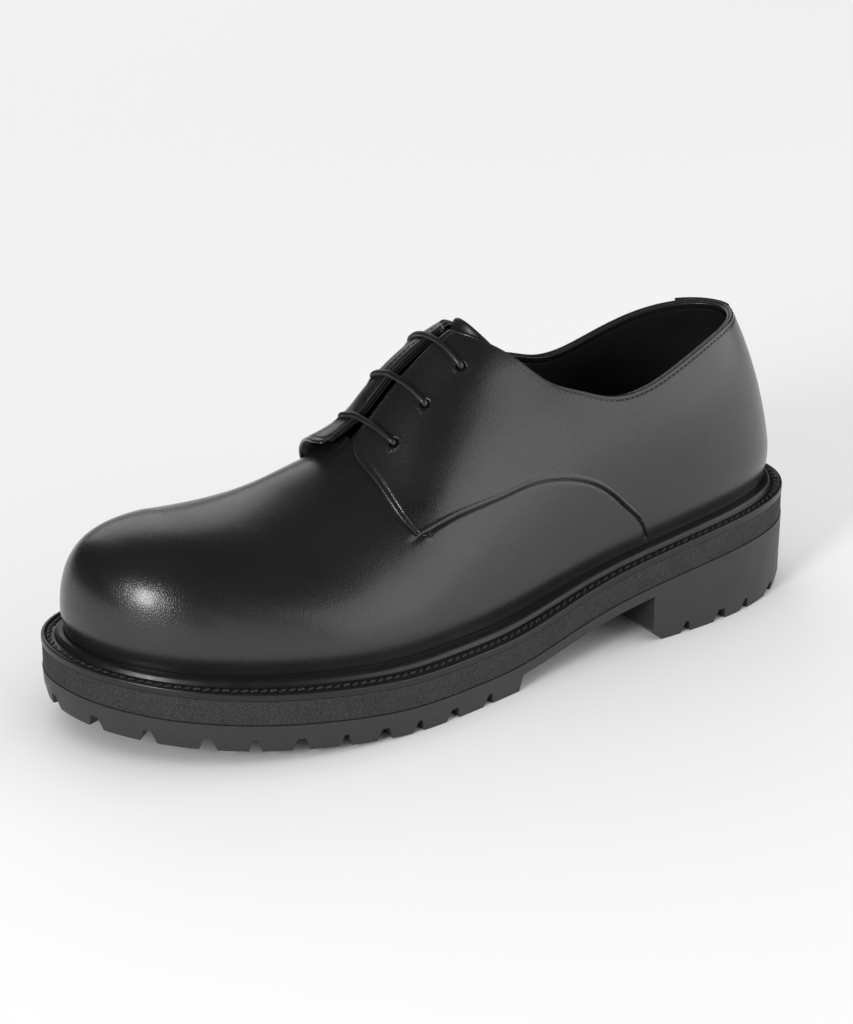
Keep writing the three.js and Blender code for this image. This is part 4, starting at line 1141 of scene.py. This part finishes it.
# Outsole: lugs, waist and heel block in one moulding
outsole = {"notchHeight": 5, "notchReach": 13, "wideNotch": 6.4, "narrowNotch": 4.8, "wideHead": 0.47,
           "narrowHead": 0.33, "edgeSlope": 1.6, "lipSlope": 0.4, "forefootEnd": 7, "breastAt": 71.5,
           "breastChamfer": 5, "grooveWidth": 5, "grooveInset": 21, "grooveDepth": 4, "grooveBend": 8,
           "grooveShift": -3, "grooveFoot": -2, "clear": 0.1, "reach": 14, "columnEvery": 3.0,
           "bevel": 0.45, "bevelAngle": 28}
notchTable = {
    "along": [-0.5, -0.484, -0.445, -0.39, -0.341, -0.289, -0.235, -0.184, -0.136, -0.084, -0.028,
              0.288, 0.345, 0.39, 0.446, 0.5],
    "wide": [1, 1, 1, 1, 0, 1, 0, 1, 0, 1, 0,
             0, 1, 0, 1, 0],
}
grooveTable = {"along": [-0.4, -0.3, -0.2, -0.1, 0.33, 0.41], "width": [0.62, 0.92, 1, 0.95, 0.4, 0.36]}


# Marks round one side of the sole: distance along the edge, and whether it is floor, notch, waist or breast
def soleMarks(edge, reach):
    def at(y):
        return float(np.interp(y, edge[:, 1], reach))

    marks, whole = [], float(reach[-1])
    for along, wide in zip(notchTable["along"], notchTable["wide"]):
        centre = 0.0 if along <= -0.5 else reach[-1] if along >= 0.5 else at(along * sole["length"])
        foot = (outsole["wideNotch"] if wide else outsole["narrowNotch"]) / 2
        head = foot * (outsole["wideHead"] if wide else outsole["narrowHead"])
        marks += [(centre - foot, "floor"), (centre - head, "head")]
        marks += [(centre + head, "head"), (centre + foot, "floor")]
    marks = [m for m in marks if 0 < m[0] < reach[-1]] + [(0.0, "head"), (whole, "head")]
    breast = outsole["breastAt"]
    marks += [(at(outsole["forefootEnd"]), "floor"), (at(outsole["forefootEnd"] + 1), "waist"),
              (at(breast), "waist"), (at(breast + outsole["clear"]), "breast"),
              (at(breast + outsole["breastChamfer"]), "floor")]
    return sorted(marks)


# Even columns between two marks of one kind; both sides take as many, so that their rows join
def columnCounts(marks):
    return [max(1, round((b[0] - a[0]) / outsole["columnEvery"])) if a[1] == b[1] and a[1] != "head" else 1
            for a, b in zip(marks, marks[1:])]


def soleColumns():
    sides, counts = {}, None
    for side in (1, -1):
        edge = outlineAt(side, denseTurn)
        reach = reachAlong(edge)
        marks = soleMarks(edge, reach)
        counts = counts or columnCounts(marks)
        path = [marks[0]]
        for parts, before, after in zip(counts, marks, marks[1:]):
            path += [(before[0] + (after[0] - before[0]) * k / parts, before[1]) for k in range(1, parts)]
            path.append(after)
        sides[side] = (np.interp([p[0] for p in path], reach, denseTurn), np.array([p[1] for p in path]))
    return sides


# Rows of points from the midsole down the sole's side, in over its notches and on under the middle
def outsoleRows(side, turn, kind):
    y = outlineAt(side, turn)[..., 1]
    floor, top = springAt(y), midsoleBottom(y)
    waist, breast = top - sole["waistDepth"], floor + outsole["breastChamfer"]
    notch, edgeSlope, lipSlope = outsole["notchHeight"], outsole["edgeSlope"], outsole["lipSlope"]
    kinds = [kind == "head", kind == "waist", kind == "breast"]
    bottom = np.select(kinds, [floor + notch, waist, breast], floor)
    ground = np.select(kinds, [floor, waist, breast], floor)

    def insetOf(height):
        above = height - floor
        low = edgeSlope + (lipSlope - edgeSlope) * above / notch
        high = lipSlope * (1 - (above - notch) / (top - floor - notch))
        return np.where(above < notch, low, high)

    def row(height, inset):
        plan = insetAt(side, turn, inset)
        return np.concatenate([plan, height[..., None]], -1)

    def evenly(inset):
        return np.full(len(turn), float(inset))

    split = np.maximum(bottom, floor + notch)
    rows = [row(top - outsole["clear"], evenly(outsole["reach"])), row(top - outsole["clear"], insetOf(top))]
    for share in (0.5, 1.0):
        height = top + (split - top) * share
        rows.append(row(height, insetOf(height)))
    rows += [row(bottom, insetOf(bottom)), row(bottom, evenly(outsole["notchReach"]))]
    return rows + [row(ground, evenly(outsole["notchReach"]))]


# One solid that cuts all the grooves across the tread
def grooveCutter():
    cutter = bmesh.new()
    for along, width in zip(grooveTable["along"], grooveTable["width"]):
        y = along * sole["length"]
        half = (sole["ballWidth"] / 2 - outsole["grooveInset"]) * width
        bend = -outsole["grooveBend"] if along < 0 else 0
        middle = float(ridgeAt(y)[0]) * 0.5 + outsole["grooveShift"] * width
        depth = float(springAt(y)) + outsole["grooveDepth"]
        made = bmesh.ops.create_grid(cutter, x_segments=2, y_segments=1, size=1)["verts"]
        for vert in made:
            x, edge = vert.co.x, vert.co.y
            across = y + bend * (1 - abs(x)) - edge * outsole["grooveWidth"] / 2
            vert.co = inFrame((middle + x * half, across, outsole["grooveFoot"]))
        faces = list({f for v in made for f in v.link_faces})
        grown = bmesh.ops.extrude_face_region(cutter, geom=faces)["geom"]
        for vert in (g for g in grown if isinstance(g, bmesh.types.BMVert)):
            vert.co.z = depth * mm
    bmesh.ops.recalc_face_normals(cutter, faces=cutter.faces)
    return meshObject("grooveCutter", cutter, lugRubber)


def buildOutsole():
    rows = {side: outsoleRows(side, turn, kind) for side, (turn, kind) in soleColumns().items()}
    piece = ringBody("outsoleLugs", rows[1], rows[-1], lugRubber, True)
    tool = grooveCutter()
    addModifier(piece, "BOOLEAN", operation="DIFFERENCE", object=tool, solver="EXACT")
    applyModifiers(piece)
    bpy.data.objects.remove(tool)
    addModifier(piece, "BEVEL", width=outsole["bevel"] * mm, segments=2, limit_method="ANGLE",
                angle_limit=math.radians(outsole["bevelAngle"]), profile=0.5)
    addModifier(piece, "WEIGHTED_NORMAL", keep_sharp=True)
    return addPiece(piece, "lug_rubber", "outsole")


buildOutsole()
print("sole made")

# Lace: three straight bars over the facings, joined under them
lace = {"diameter": 2.5, "lift": -0.5, "below": 5.6, "inHole": 1.5, "overHole": 0.55,
        "steps": 40, "knots": 16, "smoothness": 10, "roundness": 4}


def barPoints(row, first, start, end):
    above, hull = last["quarterThickness"] + lace["diameter"] / 2 + lace["lift"], []
    across = np.linspace(start[0], end[0], lace["steps"] + 1)
    side = np.where(across > last["facingCentre"], 1, -1)
    onLeather = np.abs(across - last["facingCentre"]) > last["facingGap"] / 2
    places = np.linspace(eyeletY(first, row), eyeletY(-first, row), lace["steps"] + 1)
    for x, y, foot in zip(across[onLeather], places[onLeather], side[onLeather]):
        turn = turnAtLength(foot, lengthAtY(foot, y))
        up = upAtX(foot, turn, x)
        place = upperAt(foot, turn, up, above + surfaceRise(foot, turn, up))
        # the lace is pulled tight, so it takes the shortest way over the leather
        while len(hull) > 1:
            before, middle = hull[-2:]
            if (abs(place[0] - before[0]) * (middle[2] - before[2])
                    >= (place[2] - before[2]) * abs(middle[0] - before[0])):
                break
            hull.pop()
        hull.append(place)
    hull = np.array(sorted(hull, key=lambda place: place[0]))
    kept = np.linspace(start[0], end[0], lace["knots"] + 1)[1:-1]
    return [pointAlong(x, hull[:, 0], hull) for x in kept]


def lacePath():
    points, heights = [], (-lace["below"], -lace["inHole"], lace["diameter"] / 2 * lace["overHole"])
    for row in range(len(eyelets["fromThroat"])):
        first = 1 if row % 2 == 0 else -1
        (start, startOut), (end, endOut) = eyeletPlace(first, row), eyeletPlace(-first, row)
        points += [start + startOut * height for height in heights]
        points += barPoints(row, first, start, end)
        points += [end + endOut * height for height in reversed(heights)]
    return points


def buildLace():
    curve = bpy.data.curves.new("lacePath", "CURVE")
    curve.dimensions = "3D"
    spline = curve.splines.new("NURBS")
    points = inFrame(np.array(lacePath()))
    spline.points.add(len(points) - 1)
    for knot, place in zip(spline.points, points):
        knot.co = (*place, 1)
    spline.order_u, spline.resolution_u, spline.use_endpoint_u = 4, lace["smoothness"], True
    curve.bevel_depth = lace["diameter"] / 2 * mm
    curve.bevel_resolution = lace["roundness"]
    curve.use_fill_caps = True
    drawn = bpy.data.objects.new("lacePath", curve)
    bpy.context.scene.collection.objects.link(drawn)
    bpy.context.view_layer.update()
    mesh = bpy.data.meshes.new_from_object(drawn.evaluated_get(bpy.context.evaluated_depsgraph_get()))
    bpy.data.objects.remove(drawn)
    mesh.materials.clear()
    mesh.materials.append(laceCotton)
    mesh.polygons.foreach_set("use_smooth", [True] * len(mesh.polygons))
    layer = mesh.uv_layers[0] if mesh.uv_layers else mesh.uv_layers.new(name="along")
    layer.name = "along"
    piece = bpy.data.objects.new("laceBars", mesh)
    bpy.context.scene.collection.objects.link(piece)
    return addPiece(piece, "lace_cotton", "lace")


buildLace()

# Seams on the upper: fine rows of stitches let into the leather
seam = {"pitch": 2.2, "length": 1.6, "width": 0.45, "height": 0.3, "sunk": 0.12}
# Bar tack: each row's ends as places along the shoe and their heights, the inner side's led forward
barTack = {"pitch": 2.1, "length": 1.7, "width": 1.2, "height": 1.7, "lead": 0.85, "points": 12}
barTackTable = {
    "along": [(-31.4, -23.2), (-30.4, -22.4)],
    "height": [(74.1, 76.9), (72.4, 75.1)],
}
stitchReach = 0.4  # the seam's direction at a stitch is taken over this length to each side


def stitchAlong(bm, side, line, offset, settings):
    turn = turnAtLength(side, line[:, 0])
    normals = lastNormal(side, turn, line[:, 1])
    points = upperAt(side, turn, line[:, 1], offset + surfaceRise(side, turn, line[:, 1]))
    reach = reachAlong(points)
    count = max(2, round(reach[-1] / settings["pitch"]))
    size = (settings["length"], settings["width"], settings["height"])
    for i in range(count):
        at = (i + 0.5) / count * reach[-1]
        ahead = pointAlong(at + stitchReach, reach, points)
        behind = pointAlong(at - stitchReach, reach, points)
        addStitch(bm, pointAlong(at, reach, points), ahead - behind, pointAlong(at, reach, normals), size)


# A line shifted by a distance on the surface, to its left as it runs
def movedIn(side, line, distance):
    turn = turnAtLength(side, line[:, 0])
    points, normals = lastAt(side, turn, line[:, 1]), lastNormal(side, turn, line[:, 1])
    ahead = np.gradient(points, axis=0)
    left = np.cross(normals, ahead) * side
    left /= np.linalg.norm(left, axis=1, keepdims=True)
    further = fineStep * 100
    byLength = (lastAt(side, turnAtLength(side, line[:, 0] + further), line[:, 1]) - points) / further
    byUp = (lastAt(side, turn, np.minimum(1, line[:, 1] + fineStep)) - points) / fineStep
    made = []
    for k in range(len(line)):
        basis = np.stack([byLength[k], byUp[k]], 1)
        shift, *_ = np.linalg.lstsq(basis, left[k] * distance, rcond=None)
        made.append(line[k] + shift)
    return np.array(made)


def buildSeams():
    bm = bmesh.new()
    for side in (1, -1):
        topEdge = quarterBorders(side)[1][6:-2]
        topLine = movedIn(side, topEdge, -quarter["stitchAt"])
        stitchAlong(bm, side, topLine, last["quarterThickness"] - seam["sunk"], seam)
        # two short rows where the quarter is held down on the vamp
        for ends, heights in zip(barTackTable["along"], barTackTable["height"]):
            y = np.array(ends) - leadOf(side) * barTack["lead"]
            tackUp = upWhere(side, turnAtLength(side, lengthAtY(side, y)),
                             lambda point: point[..., 2] < np.array(heights))
            line = np.stack([np.linspace(*lengthAtY(side, y), barTack["points"]),
                             np.linspace(*tackUp, barTack["points"])], -1)
            stitchAlong(bm, side, line, last["quarterThickness"], barTack)
    return addPiece(meshObject("upperStitches", bm, seamThread), "upper_leather")


buildSeams()

# Pale floor and soft studio light: a small key in front, a wide panel beside the heel, one behind, and a room
# that is dark at the horizon and bright overhead
studio = {"floor": "#e4e4e4", "floorSize": 6, "fill": 0.76, "horizon": 0.08, "zenith": 1.56,
          "middle": (0, 0, 0.06)}
panels = {
    "keyPanel": {"azimuth": 28, "elevation": 20.5, "distance": 2.2, "size": (0.44, 0.72), "radiance": 31},
    "sidePanel": {"azimuth": 140, "elevation": 14, "distance": 1.5, "size": (2.2, 0.9), "radiance": 2.1},
    "backPanel": {"azimuth": -103, "elevation": 27, "distance": 2.0, "size": (1.4, 1.1), "radiance": 1.3},
    "frontPanel": {"azimuth": 84, "elevation": 6, "distance": 1.9, "size": (0.9, 0.6), "radiance": 0.9},
}
floorBm = bmesh.new()
bmesh.ops.create_grid(floorBm, x_segments=1, y_segments=1, size=studio["floorSize"])
paleFloor = newMaterial("paleFloor", studio["floor"], 0.9)[0]  # a matt paper sweep
floor = meshObject("floor", floorBm, paleFloor)

world = bpy.data.worlds.new("studio")
bpy.context.scene.world = world
world.use_nodes = True
background = world.node_tree.nodes["Background"]
upwards = addNode(world.node_tree, "ShaderNodeTexCoord").outputs["Generated"]
height = addNode(world.node_tree, "ShaderNodeSeparateXYZ", None, {"Vector": upwards})
overhead = addNode(world.node_tree, "ShaderNodeMapRange", None, {
    "Value": height.outputs["Z"], "From Min": 0.0, "From Max": 1.0,
    "To Min": studio["fill"] * studio["horizon"], "To Max": studio["fill"] * studio["zenith"]})
world.node_tree.links.new(overhead.outputs["Result"], background.inputs["Strength"])
background.inputs["Color"].default_value = srgb("#ffffff")
world.cycles_visibility.glossy = False
bpy.context.scene.view_settings.view_transform = "Standard"


def directionTo(azimuth, elevation):
    level = math.cos(elevation)
    return Vector((math.sin(azimuth) * level, -math.cos(azimuth) * level, math.sin(elevation)))


for name, row in panels.items():
    turnedBy, raisedBy = math.radians(row["azimuth"]), math.radians(row["elevation"])
    towards = directionTo(turnedBy, raisedBy)
    light = bpy.data.lights.new(name, "AREA")
    light.shape = "RECTANGLE"
    light.size, light.size_y = row["size"]
    light.energy = row["radiance"] * math.pi * light.size * light.size_y
    lamp = bpy.data.objects.new(name, light)
    bpy.context.scene.collection.objects.link(lamp)
    lamp.location = Vector(studio["middle"]) + towards * row["distance"]
    lamp.rotation_mode = "QUATERNION"
    lamp.rotation_quaternion = (-towards).to_track_quat("-Z", "Y")

# Camera where the photograph's was, turned to frame the one shoe
camera = {"azimuth": 59.315, "elevation": 23.29, "distance": 1296.883, "aimAcross": -35.055, "aimUp": 75.372,
          "focal": 124.0, "sensor": 36, "lookAt": (0.0, -4.0, 57.0), "clip": (0.05, 30)}
azimuth, elevation = math.radians(camera["azimuth"]), math.radians(camera["elevation"])
back = directionTo(azimuth, elevation)
sideStep = camera["aimAcross"]
aim = Vector((math.cos(azimuth) * sideStep, math.sin(azimuth) * sideStep, camera["aimUp"]))
cameraData = bpy.data.cameras.new("camera")
cameraData.sensor_width = camera["sensor"]
cameraData.lens = camera["focal"]
cameraObject = bpy.data.objects.new("camera", cameraData)
bpy.context.scene.collection.objects.link(cameraObject)
bpy.context.scene.camera = cameraObject
cameraObject.location = Vector(inFrame(aim + back * camera["distance"]))
cameraObject.rotation_mode = "QUATERNION"
looking = Vector(inFrame(camera["lookAt"])) - cameraObject.location
cameraObject.rotation_quaternion = looking.to_track_quat("-Z", "Y")
cameraData.clip_start, cameraData.clip_end = camera["clip"]
print("studio made")
